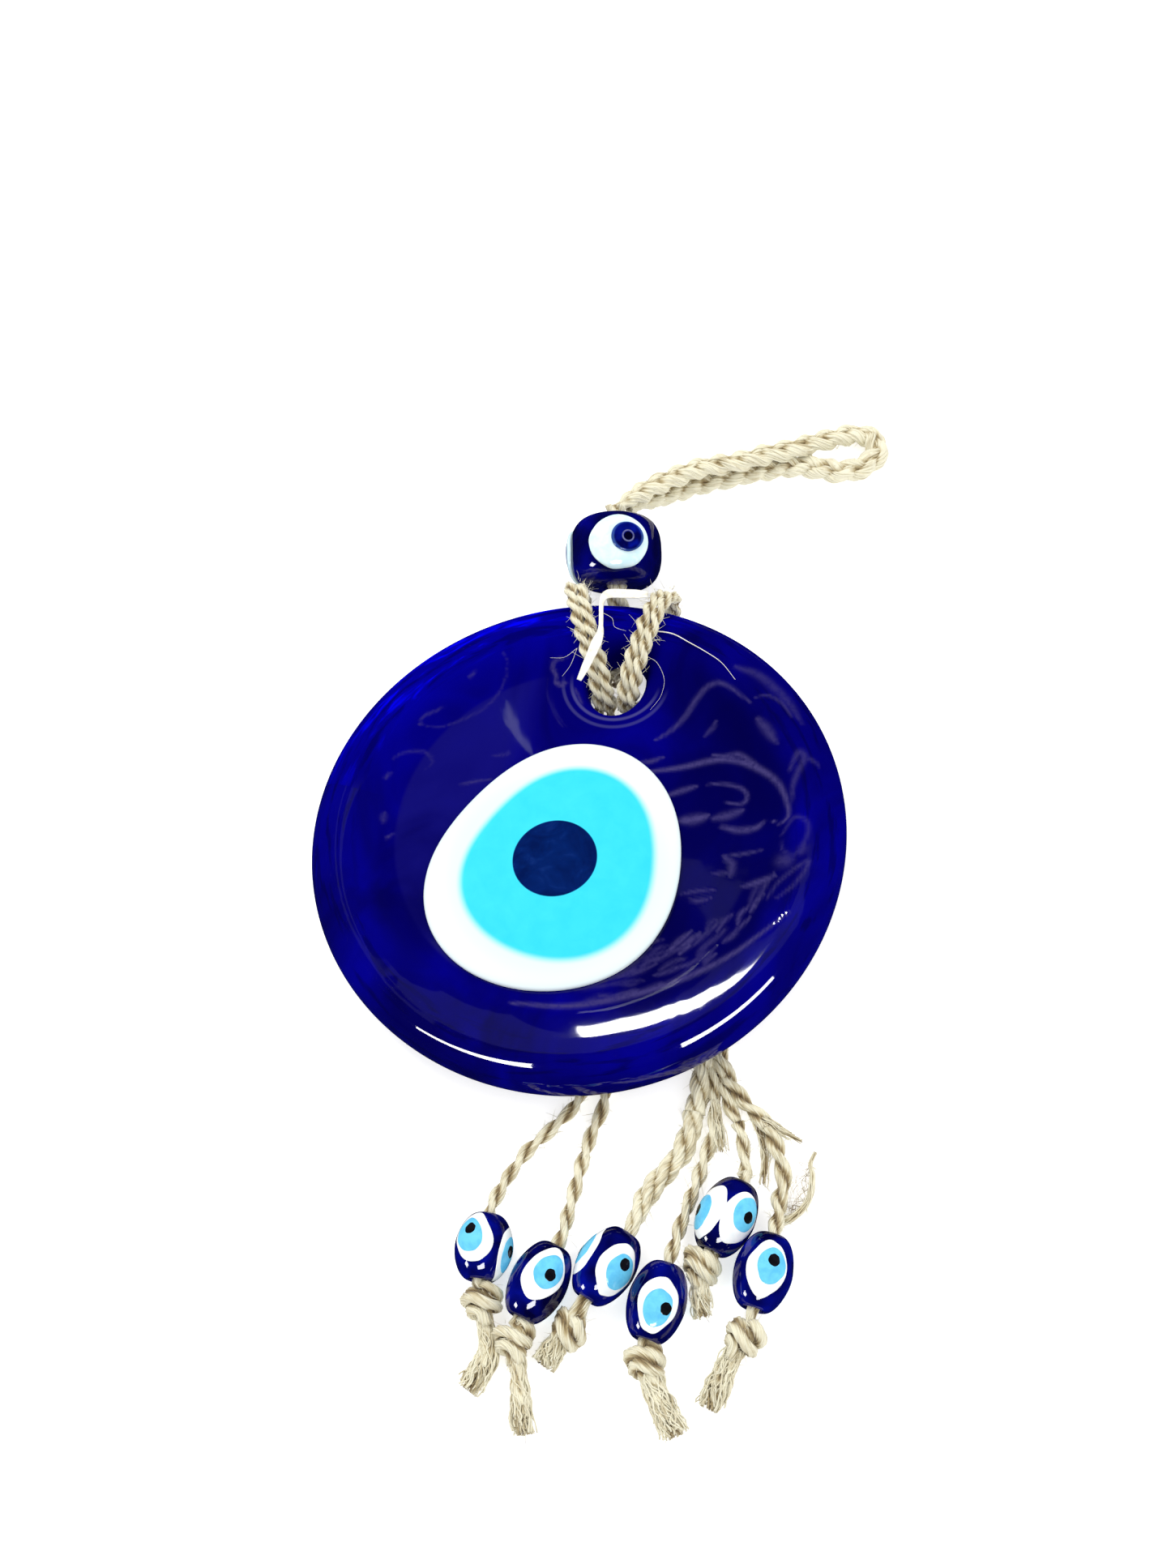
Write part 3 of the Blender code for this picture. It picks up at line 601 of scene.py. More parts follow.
def draw_wisps(mesh):
    """Stores how strongly the wisps, partly streaks in the glass and partly painted reflection, show at each
    point of the disc's face.
    """
    places = np.empty(len(mesh.vertices) * 3)
    mesh.vertices.foreach_get("co", places)
    places = places.reshape(-1, 3) / MM
    amount = np.zeros(len(places))
    front = places[:, 2] > 5.5
    for width, strength, *flat in [*WISPS, *ridge_wisps()]:
        line = smooth_path([np.array((x, y, 0.0)) for x, y in zip(flat[::2], flat[1::2])], 0.3)[:, :2]
        taper = np.sqrt(np.sin(np.linspace(0.06, 1.0, len(line)) * math.pi).clip(0.08, 1.0))
        low, high = line.min(axis=0) - 2.5, line.max(axis=0) + 2.5
        near = np.flatnonzero(front & np.all((places[:, :2] > low) & (places[:, :2] < high), axis=1))
        apart = np.linalg.norm(places[near, None, :2] - line[None], axis=2) / (0.55 * width * taper)
        amount[near] = np.maximum(amount[near], strength * np.exp(-(apart.min(axis=1) ** 2)))
    store(mesh, "wisp", amount)


def glass_disc():
    vertices, faces = [], []

    def append(more, more_faces):
        start = len(vertices)
        vertices.extend(more)
        faces.extend(tuple(start + i for i in face) for face in more_faces)

    def lifted(ring, height):
        return [(x, y, height(x, y)) for x, y in ring]

    append(*disc_sheet(front_height, 0.0, 0.5, 0.6))
    append(*disc_sheet(back_height, BACK_CHAMFER, 1.4, 1.5))
    start = int(np.argmax(FRONT[:, 0] > SHEET_EDGE))
    stop = WIDEST + int(np.argmax(PROFILE[WIDEST:, 0] < SHEET_EDGE))
    rim = [lifted(disc_ring(SHEET_EDGE, RIM_COUNT), front_height)]
    rim += [lifted(disc_ring(r, RIM_COUNT), lambda x, y: z) for r, z in PROFILE[start + 1 : stop - 1 : 2]]
    rim.append(lifted(disc_ring(SHEET_EDGE, RIM_COUNT), back_height))
    wall = [lifted(hole_ring(0.0), front_height)]
    top = min(z for _, _, z in wall[0]) - 0.2
    wall += [lifted(hole_ring(0.0), lambda x, y: z) for z in np.linspace(top, HOLE_BOTTOM, 8)]
    wall.append(lifted(hole_ring(0.15), lambda x, y: 0.7))
    wall.append(lifted(hole_ring(BACK_CHAMFER), back_height))
    for rings in (rim, wall):
        ring_points, ring_faces = skin(rings)
        append([tuple(v) for v in ring_points], ring_faces[:-2])
    vertices = np.array(vertices) * MM
    disc = make_piece("poured_glass_disc", vertices, faces, COBALT, "cobalt_glass", "disc", ["glass_disc"])
    weld(disc, 0.001 * MM)
    draw_wisps(disc.data)


# ---------------------------------------------------------------- large eye

EYE_EDGE = 8.6 * MM
EYE_RISE = 3.6 * MM
DISH_FLOOR = 7.9 * MM
EYE_TURNS = 240


def outline(layer, angle):
    """Radius of a layer of the eye at an angle."""
    return wavy(WAVES[layer], angle) * MM


def eye_ring(radius_at, height_at):
    ring = []
    for i in range(EYE_TURNS):
        angle = TAU * i / EYE_TURNS
        r = radius_at(angle)
        share = min(r / outline("white", angle), 1.0)
        x, y = EYE_CENTRE[0] + r * math.cos(angle), EYE_CENTRE[1] + r * math.sin(angle)
        ring.append((x, y, height_at(share)))
    return ring


def dome(share):
    return EYE_EDGE + EYE_RISE * math.sqrt(1 - share**2)


def eye_layer(name, outer, inner, floor, slot):
    """One layer of the eye as a closed solid, whose front follows the dome in to the next layer's outline."""
    rings = [eye_ring(lambda a: outline(outer, a) * 0.97, lambda s: floor)]
    steps = np.linspace(0, 1, 26)
    if outer == "white":
        # A rounded foot, then a front whose rings crowd towards its steep edge
        for inset, rise in ((0.012, 0.15 * MM), (0.0, 0.4 * MM)):
            rings.append(eye_ring(lambda a: outline(outer, a) * (1 - inset), lambda s: floor + rise))
        steps = (1 - np.sin(np.linspace(0, math.pi / 2, 34)))[::-1]
    within = (lambda a: outline(inner, a)) if inner else (lambda a: 0.02 * MM)
    for t in steps:
        rings.append(eye_ring(lambda a: outline(outer, a) + (within(a) - outline(outer, a)) * t, dome))
    if inner:
        rings.append(eye_ring(within, lambda s: floor))
    layer = make_piece(f"{name}_glass", *skin(rings, around=bool(inner)), EYE, slot, "disc", [name])
    weld(layer)
    layer.data.set_sharp_from_angle(angle=math.radians(50))


def large_eye():
    eye_layer("eye_white", "white", "iris", DISH_FLOOR + 0.02 * MM, "white_glass")
    eye_layer("eye_iris", "iris", "pupil", DISH_FLOOR + 1.2 * MM, "turquoise_glass")
    eye_layer("eye_pupil", "pupil", None, DISH_FLOOR + 2.4 * MM, "navy_glass")


# ---------------------------------------------------------------- beads


class Bead:
    """A turned bead: its place, its bore's direction, and the sideways and upward directions around it."""

    def __init__(self, body, radius, length, bore, fullness):
        self.body = body
        self.centre = pivot(f"{body}_spin")
        self.axis = axis_of(f"{body}_spin")
        self.radius, self.half, self.bore, self.fullness = radius, length / 2, bore, fullness
        self.side = unit(np.cross(self.axis, UP))
        self.up = np.cross(self.side, self.axis)

    def surface(self, along):
        share = min(abs(along) / self.half, 1.0)
        lip = self.bore + 0.35 * MM
        return lip + (self.radius - lip) * (1 - share**self.fullness) ** (1 / self.fullness)

    def at(self, along, turn, out):
        """The point at a distance along the bore, a turn from the top and a distance from the bore's line."""
        return self.centre + along * self.axis + out * (math.sin(turn) * self.side + math.cos(turn) * self.up)

    def glass(self, name, surface, seed, turns=96, steps=44):
        """The bead's slightly dented body and its bore."""
        stops = [self.half * math.sin(s * math.pi / 2) for s in np.linspace(-1, 1, steps)]
        profile = [(along, self.surface(along)) for along in stops]
        lip, inside = 0.99 * self.half, 0.95 * self.half
        profile += [(lip, self.bore + 0.1 * MM), (inside, self.bore)]
        profile += [(-inside, self.bore), (-lip, self.bore + 0.1 * MM)]
        rings = []
        for along, out in profile:
            ring = []
            for i in range(turns):
                turn = TAU * i / turns
                spot = Vector(self.at(along, turn, out) / (4 * MM)) + Vector((seed, 0, 0))
                dent = noise.noise(spot) * 0.05 * MM if out > self.bore * 1.2 else 0
                ring.append(self.at(along, turn, out + dent))
            rings.append(ring)
        weld(make_piece(name, *skin(rings, around=True), surface, "bead_glass", self.body, [self.body]))

    def dot(self, name, surface, slot, along, turn, size, layer, seed, ragged=0.02, tilt=0.0, replaced=()):
        """A dot of enamel fused to the bead, at a distance along the bore and a turn from the top. Size is
        its half width and half length, and layer its lowest and highest height above the glass."""
        low, high = layer
        turns = 56
        angles = [TAU * i / turns for i in range(turns)]
        waver = [noise.noise(Vector((1.7 * math.cos(a), 1.7 * math.sin(a), seed))) for a in angles]

        def ring(share, height):
            made = []
            for angle, wave in zip(angles, waver):
                reach = share * (1 + ragged * 2.2 * wave)
                u = reach * size[0] * math.cos(angle)
                v = reach * size[1] * math.sin(angle)
                u, v = u * math.cos(tilt) - v * math.sin(tilt), u * math.sin(tilt) + v * math.cos(tilt)
                place = along + v
                made.append(self.at(place, turn + u / self.radius, self.surface(place) + height))
            return made

        rise = high - low
        rings = [ring(s, low) for s in (0.1, 0.45, 0.8, 0.97)]
        rings += [ring(s, low + rise * h) for s, h in ((1.0, 0.3), (1.0, 0.6), (0.975, 0.85), (0.93, 0.96))]
        rings += [ring(s, high + 0.06 * MM * (1 - s)) for s in (0.85, 0.7, 0.5, 0.3, 0.1)]
        vertices, faces = skin(rings)
        span = np.linalg.norm(vertices - self.at(along, turn, self.surface(along) + high), axis=1) / size[0]
        weld(make_piece(name, vertices, faces, surface, slot, self.body, replaced, span=span))


TOP = Bead("top_bead", 10.0 * MM, 16.0 * MM, 2.7 * MM, 2.7)
# Each eye of the large bead: its turn from the top, its white's size, its pupil's further turn and height
TOP_EYES = {
    "eye": (math.atan2(0.2, 1.0), (6.6 * MM, 6.0 * MM), 0.16, 1.35 * MM),
    "side": (math.atan2(-1.0, -0.22), (6.0 * MM, 6.1 * MM), 0.0, 0.95 * MM),
}
PUPIL_SIZE = (3.3 * MM, 3.3 * MM)


def top_bead():
    TOP.glass("large_bead_glass", TOP_BEAD, 3.0)
    for label, (turn, size, shift, height) in TOP_EYES.items():
        white = (MILK, "white_glass", -0.2 * MM, turn, size, (-0.1 * MM, 0.75 * MM), turn)
        pupil = (PUPIL, "navy_glass", 0.5 * MM, turn + shift, PUPIL_SIZE, (0.6 * MM, height), turn + 5)
        for part, traits in (("white", white), ("pupil", pupil)):
            TOP.dot(f"large_bead_{label}_{part}", *traits, replaced=[f"top_bead_{label}_{part}"])


# For each small bead: its length, then each painted eye as (distance along and turn in degrees of its white,
# the same of its iris, the same of its black dot, tilt in degrees)
SMALL_BEADS = {
    1: (12.4, (-0.9, 17, -1.1, 24, -2.2, 23, 30), (0.9, -88, 1.0, -84, 0.5, -80, 0),
        (0.4, 140, 0.6, 150, 0.0, 145, 0)),
    2: (14.6, (-1.3, -17, -1.9, -24, -1.4, -28, -12), (0.8, 110, 1.0, 114, 0.2, 110, 0),
        (0.6, -152, 0.8, -150, 0.3, -146, 0)),
    3: (14.2, (-0.5, 66, -0.5, 70, 0.2, 78, 18), (0.1, -37, 0.1, -45, -1.5, -43, 12),
        (0.3, 188, 0.4, 184, 0.8, 180, 0)),
    4: (14.4, (1.3, -12, 1.9, -14, 1.6, -30, 0), (0.2, 124, 0.2, 122, -0.5, 120, 0),
        (0.4, -150, 0.5, -150, 0.2, -146, 0)),
    5: (14.2, (1.0, 41, 1.6, 56, 1.3, 66, -12), (-0.1, -40, -1.2, -47, -0.8, -52, -10),
        (0.4, 178, 0.5, 176, 0.3, 170, 0)),
    6: (14.0, (0.1, -12, -0.5, -20, -1.5, -21, 0), (0.3, 124, 0.4, 122, 0.6, 120, 0),
        (0.0, -150, 0.1, -150, 0.2, -146, 0)),
}
# Each layer of paint: its surface, half width and half length, lowest and highest height, and raggedness
PAINT = {
    "white": (WHITE, (4.0 * MM, 5.2 * MM), (-0.1 * MM, 0.07 * MM), 0.035),
    "iris": (SKY, (2.75 * MM, 3.4 * MM), (0.03 * MM, 0.15 * MM), 0.03),
    "dot": (BLACK, (1.08 * MM, 1.15 * MM), (0.11 * MM, 0.22 * MM), 0.05),
}


def small_beads():
    for number, (length, *eyes) in SMALL_BEADS.items():
        bead = Bead(f"bead_{number}", 5.4 * MM, length * MM, 1.75 * MM, 1.75)
        bead.glass(f"bead_{number}_glass", BEAD, float(number), 72, 36)
        for count, (*places, tilt) in enumerate(eyes):
            for layer, (label, (surface, size, heights, ragged)) in enumerate(PAINT.items()):
                place = (places[2 * layer] * MM, math.radians(places[2 * layer + 1]))
                name = f"bead_{number}_{label}_{count + 1}"
                seed = number * 7.3 + count * 2.1 + layer
                look = (seed, ragged, math.radians(tilt))
                bead.dot(name, surface, "bead_glass", *place, size, heights, *look)


# ---------------------------------------------------------------- cords


def smooth_path(points, step=0.6 * MM):
    """Points at equal steps along a Catmull-Rom curve through the given points."""
    points = np.asarray(points)
    ends = [2 * points[0] - points[1], *points, 2 * points[-1] - points[-2]]
    dense = []
    for a, b, c, d in zip(ends, ends[1:], ends[2:], ends[3:]):
        for t in np.linspace(0, 1, 16, endpoint=False):
            bend = (2 * a - 5 * b + 4 * c - d) * t**2 + (3 * b - a - 3 * c + d) * t**3
            dense.append(0.5 * (2 * b + (c - a) * t + bend))
    dense = np.array([*dense, points[-1]])
    run = lengths(dense)
    wanted = np.linspace(0, run[-1], max(int(round(run[-1] / step)), 3) + 1)
    return np.column_stack([np.interp(wanted, run, dense[:, i]) for i in range(3)])


def path_through(*places):
    """A smooth path through places given in millimetres."""
    return smooth_path([point(*place) for place in places])


def lengths(path):
    return np.concatenate([[0], np.cumsum(np.linalg.norm(np.diff(path, axis=0), axis=1))])


def carried(path, sideways=None):
    """Sideways and upward directions along a path, carried without twist or held to a given side."""
    tangents = np.gradient(path, axis=0)
    tangents /= np.linalg.norm(tangents, axis=1)[:, None]
    up = UP
    if abs(tangents[0] @ up) > 0.9:
        up = np.array((0.0, 1.0, 0.0))
    sides, ups = [], []
    for tangent in tangents:
        if sideways is not None:
            up = np.cross(sideways, tangent)
        up = unit(up - tangent * (up @ tangent))
        sides.append(np.cross(tangent, up))
        ups.append(up)
    return np.array(sides), np.array(ups)


def around(angle, side, up):
    """The direction at an angle between side and up, at each point of a path."""
    return np.cos(angle)[:, None] * side + np.sin(angle)[:, None] * up


def wander(count, reach):
    """Smooth random values near one in size, changing over a number of steps."""
    rough = random.normal(size=count + 6 * reach)
    kernel = np.hanning(2 * reach + 1)
    kernel /= np.sqrt((kernel**2).sum())
    return np.convolve(rough, kernel, mode="same")[3 * reach : 3 * reach + count]


class Cord:
    """Collects one piece's fibre tubes. Each point keeps its strand's tint, distance along and depth."""

    def __init__(self):
        self.points, self.faces, self.traits = [], [], []

    def tube(self, centres, side, up, radii, tint, along, depth, sides=4):
        count = len(centres)
        turns = np.linspace(0, TAU, sides, endpoint=False)[None, :, None]
        spokes = np.cos(turns) * side[:, None, :] + np.sin(turns) * up[:, None, :]
        rings = centres[:, None, :] + radii[:, None, None] * spokes
        rings[..., 2] = np.maximum(rings[..., 2], FLOOR + 0.02 * MM)
        start = sum(len(p) for p in self.points)
        self.points.append(rings.reshape(-1, 3))
        traits = np.empty((count, sides, 3))
        traits[..., 0] = tint
        traits[..., 1] = along[:, None]
        traits[..., 2] = depth(rings) if callable(depth) else depth
        self.traits.append(traits.reshape(-1, 3))
        i = np.arange(count - 1)[:, None] * sides
        j = np.arange(sides)[None, :]
        k = (j + 1) % sides
        quads = start + np.stack([i + j, i + k, i + sides + k, i + sides + j], axis=-1).reshape(-1, 4)
        self.faces += [tuple(q) for q in quads.tolist()]
        self.faces.append(tuple(range(start, start + sides))[::-1])
        last = start + (count - 1) * sides
        self.faces.append(tuple(range(last, last + sides)))

    def bundle(self, hub, side, up, radius, middle, reach, strands, pitch=16.0 * MM, shade=0.0):
        """Fibres that run together as one ply. Middle and reach give the whole cord's line and radius."""
        spin = random.random() * TAU
        count, along = len(hub), lengths(hub)
        radius = np.broadcast_to(radius, count)
        reach = np.broadcast_to(reach, count)

        def depth(rings):
            return np.linalg.norm(rings - middle[:, None, :], axis=2) / reach[:, None]

        self.tube(hub, side, up, 0.86 * radius, 0.35 + shade, along, depth, 10)
        for s in range(strands):
            angle = spin + TAU * s / strands - TAU * along / pitch + 0.3 * wander(count, 9)
            out = radius * (0.84 + 0.05 * wander(count, 7))
            centres = hub + out[:, None] * around(angle, side, up)
            thick = radius * np.clip(0.19 + 0.05 * wander(count, 5), 0.09, 0.3)
            self.tube(centres, side, up, thick, random.random() + shade, along, depth)

    def twine(self, path, radius, pitch, phase, sideways=None, plies=2, strands=13, shade=0.0):
        """A cord of twisted plies along a path."""
        side, up = carried(path, sideways)
        along = lengths(path)
        radius = np.broadcast_to(radius, len(path)).astype(float)
        for ply in range(plies):
            turn = phase + TAU * along / pitch + TAU * ply / plies + 0.15 * wander(len(path), 12)
            hub = path + (0.47 * radius)[:, None] * around(turn, side, up)
            self.bundle(hub, side, up, 0.58 * radius, path, radius, strands, shade=shade)

    def plait(self, path, width, height, radius, pitch):
        """A flat plait of three strands."""
        side, up = carried(path)
        along = lengths(path)
        for strand in range(3):
            phase = TAU * along / pitch + TAU * strand / 3
            hub = path + (width * np.sin(phase))[:, None] * side + (height * np.sin(2 * phase))[:, None] * up
            self.bundle(hub, side, up, radius, path, (width + radius) * 0.8, 15, 18 * MM, 0.3)

    def brush(self, path, radii, count, twist, ragged, thickness, flat=1.0):
        """A frayed end: fibres that leave the cord, spread and stop at uneven lengths."""
        side, up = carried(path)
        along = lengths(path)
        share = along / along[-1]
        reach = radii[0] + (radii[1] - radii[0]) * share**1.3
        for _ in range(count):
            out = math.sqrt(random.random())
            first = random.random() * TAU
            stop = max(3, int(np.searchsorted(along, along[-1] - ragged * random.random() ** 1.4)))
            angle = first + twist * share + 0.3 * wander(len(path), 4)
            away = reach * out * (1 + 0.16 * wander(len(path), 5))
            centres = path + away[:, None] * around(angle, side, flat * up)
            thick = thickness * (0.75 + 0.5 * random.random()) * np.linspace(1.0, 0.85, len(path))
            kept = [values[:stop] for values in (centres, side, up, thick)]
            self.tube(*kept, random.random(), along[:stop], 0.35 + 0.6 * out)

    def fuzz(self, path, radius, density, reach=2.6 * MM):
        """Fine hairs that stand off a cord. Density is hairs per millimetre."""
        side, up = carried(path)
        along = lengths(path)
        for _ in range(int(density * along[-1] / MM)):
            i = random.integers(0, len(path) - 1)
            angle = random.random() * TAU
            out = math.cos(angle) * side[i] + math.sin(angle) * up[i]
            forward = unit(path[i + 1] - path[i]) * random.choice((-1, 1))
            lean = random.uniform(0.4, 1.6)
            length = reach * random.uniform(0.35, 1.0) ** 1.5
            t = np.linspace(0, 1, 6)[:, None]
            curl = unit(np.cross(out, forward)) * random.normal() * 0.7
            heading = unit(out + lean * forward)
            self.hair(path[i] + 0.85 * radius * out + length * (t * heading + t**2 * curl * 0.5), 0.06 * MM)

    def hair(self, line, thickness, tint=None, depth=0.95):
        side, up = carried(line)
        taper = thickness * np.linspace(1.0, 0.35, len(line))
        tint = random.random() if tint is None else tint
        self.tube(line, side, up, taper, 0.6 + 0.4 * tint, lengths(line), depth, 3)

    def make(self, name, body=None, replaced=(), surface=JUTE):
        points, traits = np.concatenate(self.points), np.concatenate(self.traits)
        return make_piece(name, points, self.faces, surface, "jute", body, replaced, strand=traits)


def offset(path, sideways_by, up_by, sideways=None):
    side, up = carried(path, sideways)
    return path + sideways_by * side + up_by * up


HITCH_PITCH = 7.5 * MM
LEFT_LEG = (
    (-9.0, 48.8, -1.9), (-11.8, 52.8, -1.0), (-13.9, 56.6, 3.4), (-14.0, 56.5, 7.6), (-12.9, 53.6, 12.0),
    (-10.4, 48.4, 12.8), (-7.4, 42.6, 12.1), (-4.3, 37.0, 9.8), (-2.8, 33.6, 5.6), (-2.75, 32.6, 1.2),
)
RIGHT_LEG = (
    (1.8, 48.8, -1.9), (5.0, 53.2, -1.0), (6.0, 58.0, 3.4), (6.1, 58.0, 7.6), (5.6, 54.4, 12.0),
    (4.8, 49.2, 12.8), (4.1, 43.2, 12.1), (3.3, 37.2, 9.8), (2.8, 33.6, 5.6), (2.75, 32.6, 1.2),
)
KNOT_BARS = (
    ((-9.0, 48.8, -1.9), (-7.0, 45.6, -2.0), (-3.4, 43.0, -1.6), (0.4, 44.4, -2.0), (1.8, 48.8, -1.9)),
    ((-7.6, 44.2, -2.2), (-3.4, 42.0, -2.2), (0.8, 43.6, -2.2)),
    ((-4.6, 39.6, -2.0), (-4.9, 43.2, -1.5), (-4.6, 46.8, -2.0)),
    ((-2.2, 39.6, -2.0), (-1.9, 43.2, -1.5), (-2.6, 46.8, -2.0)),
)


def hitch():
    """Two twines side by side go up out of the hole on each side and over the rim to the knot behind."""
    across = (1.0, 0.0, 0.0)
    for label, places in (("left", LEFT_LEG), ("right", RIGHT_LEG)):
        cord = Cord()
        path = path_through(*places)
        for lane in (-1.12 * MM, 1.12 * MM):
            line = offset(path, lane, 0.0, across)
            cord.twine(line, 1.38 * MM, HITCH_PITCH, random.random() * TAU, across, shade=0.24)
        cord.fuzz(path, 2.4 * MM, 5.0, 3.2 * MM)
        cord.make(f"hitch_twines_{label}", "disc", [f"hitch_leg_{label}"])
    knot = Cord()
    for places in KNOT_BARS:
        path = path_through(*places)
        knot.twine(path, 1.35 * MM, HITCH_PITCH, random.random() * TAU)
        knot.fuzz(path, 1.3 * MM, 1.5)
    knot.make("hitch_knot_twines", "disc", ["hitch_knot"])


def hanger_stem():
    """Three twines from the knot behind the disc up through the large bead."""
    start = pivot("hanger_swing")
    bottom = TOP.centre - TOP.axis * TOP.half
    below = TOP.centre - TOP.axis * (TOP.half + 1.8 * MM) - point(0, 0, 0.3)
    above = TOP.centre + TOP.axis * (TOP.half + 2.6 * MM)
    behind, bend = start - point(0.4, 4.0, -0.1), point(-4.7, 55.4, -0.9)
    path = smooth_path([behind, start, bend, below, bottom, TOP.centre, above])
    cord = Cord()
    cord.twine(path, 2.15 * MM, 13 * MM, 0.6, plies=3)
    cord.fuzz(path[: len(path) // 3], 2.0 * MM, 2.0)
    made = cord.make("hanger_twines", replaced=["hanger_stem"])
    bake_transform(made)


# The folded plait, from the large bead along its upper leg, round its eye and back along its lower leg
LOOP = (
    (-7.6, 83.4, 6.6), (-2.1, 90.4, 4.2), (4.0, 95.9, 2.6), (10.8, 98.9, 1.9), (17.5, 102.5, 1.6),
    (24.2, 105.9, 1.1), (30.4, 109.9, 0.2), (35.4, 113.0, -1.2), (39.5, 112.8, -1.4), (41.5, 109.7, -1.4),
    (40.7, 106.4, -1.4), (38.0, 103.9, -1.4), (33.7, 102.6, -1.4), (28.7, 102.9, -1.4), (22.8, 102.7, -1.6),
    (17.6, 101.0, -1.8), (10.7, 98.0, -1.8), (3.8, 94.9, -1.8), (-2.6, 90.2, -0.4), (-6.3, 85.0, 2.6),
    (-8.6, 80.6, 5.4),
)


def hanging_loop():
    """The plaited hanging cord, folded to an eye, with one leg lying on the other."""
    start = TOP.centre + TOP.axis * (TOP.half + 1.6 * MM)
    path = smooth_path([start, *(point(*place) for place in LOOP)])
    from_end = np.minimum(np.arange(len(path)), np.arange(len(path))[::-1])
    narrow = np.clip(from_end / 16, 0.4, 1.0)
    cord = Cord()
    cord.plait(path, 1.25 * MM * narrow, 0.55 * MM * narrow, 1.45 * MM * narrow**0.5, 15.0 * MM)
    cord.fuzz(path, 2.1 * MM, 1.1, 2.0 * MM)
    cord.make("plaited_loop", "loop", ["hanging_loop"])


# A tightened overhand knot: its turns as (along the cord, across it, above it)
KNOT = (
    (-2.2, -0.4, 0.8), (-1.7, -1.6, 1.4), (-0.2, -2.4, 0.0), (0.6, -1.0, -1.4), (0.2, 1.4, -1.2),
    (-0.8, 2.3, 0.4), (-0.4, 0.9, 1.9), (1.0, -0.8, 1.9), (1.8, -2.0, 0.2), (1.5, -0.4, -1.4),
    (1.6, 1.4, -0.6), (1.2, 1.6, 0.8), (2.2, 0.3, 0.9),
)
# Each tassel: its cord's radius, its points between hinge and bead, its knot, its tail's points and the
# tail's radius at each end
TASSELS = {
    1: (1.3, [(9.4, -58.6), (5.8, -64.4), (3.6, -71.2)], (5.1, -93.6),
        [(8.0, -100.4), (8.4, -104.6), (6.4, -110.2)], (1.3, 2.4)),
    2: (1.35, [(17.1, -58.6), (16.8, -66.0), (17.0, -73.4)], (13.0, -98.9),
        [(15.6, -106.0), (17.4, -110.8), (19.0, -115.4)], (1.3, 2.1)),
    3: (2.1, [(32.6, -63.4), (30.6, -68.6)], (22.5, -95.1), [(20.4, -99.0), (18.8, -102.8)], (1.7, 2.4)),
    4: (1.3, [(39.0, -64.0), (38.2, -71.0)], (37.5, -97.6),
        [(40.6, -102.4), (43.2, -105.8), (46.0, -109.4)], (1.8, 2.4)),
    5: (1.3, [(47.6, -60.6)], (43.5, -78.3), [(44.6, -84.4), (46.0, -88.0)], (1.4, 1.9)),
    6: (1.6, [(54.9, -63.0), (55.3, -66.4)], (53.8, -89.2), [(51.6, -96.4), (50.0, -103.6)], (1.7, 2.3)),
}
# Where the cords come from behind the disc, for the two left tassels and then the four right ones
ROOTS = {
    1: [(13.4, -34.0), (13.9, -44.0)],
    2: [(15.6, -34.0), (17.0, -44.0)],
    3: [(32.6, -34.0), (35.0, -40.0), (35.6, -46.0), (35.6, -52.0)],
    4: [(34.0, -34.0), (36.8, -40.0), (38.6, -46.0), (39.9, -52.6)],
    5: [(35.0, -33.6), (38.0, -40.0), (41.2, -46.4), (45.0, -51.6)],
    6: [(36.4, -33.2), (39.2, -40.0), (43.6, -45.2), (50.0, -50.2)],
}
BORE_CORD = 1.3 * MM
PATH_IN_BORE = 14  # points of a tassel's lower path that lie inside its bead


def tassel_paths(number):
    """The cord's line from behind the disc to its bead, then from there through its knot, then its tail."""
    _, lead, knot, tail, _ = TASSELS[number]
    centre, axis = pivot(f"bead_{number}_spin"), axis_of(f"bead_{number}_spin")
    half = SMALL_BEADS[number][0] / 2 * MM
    hinge = pivot(f"tassel_{number}_lift")
    entry = centre - axis * (half + 0.6 * MM)
    upper = [*(point(x, y, -1.9) for x, y in ROOTS[number]), hinge]
    for i, (x, y) in enumerate(lead):
        share = (i + 1) / (len(lead) + 1)
        upper.append(np.array((x * MM, y * MM, hinge[2] + (entry[2] - hinge[2]) * share**2)))
    upper += [entry, centre]
    middle = point(*knot, -0.3)
    ends = [point(x, y, -1.7) for x, y in tail]
    bottom = centre + axis * half
    down = unit(ends[0] - bottom)
    across = unit(np.cross(down, UP))
    turns = [middle + MM * (s * down + u * across + w * UP) for s, u, w in KNOT]
    lower = [centre, bottom, bottom + axis * 0.6 * MM, *turns, middle + 0.6 * (ends[0] - middle)]
    return smooth_path(upper), smooth_path(lower), smooth_path([middle + 0.35 * (ends[0] - middle), *ends])


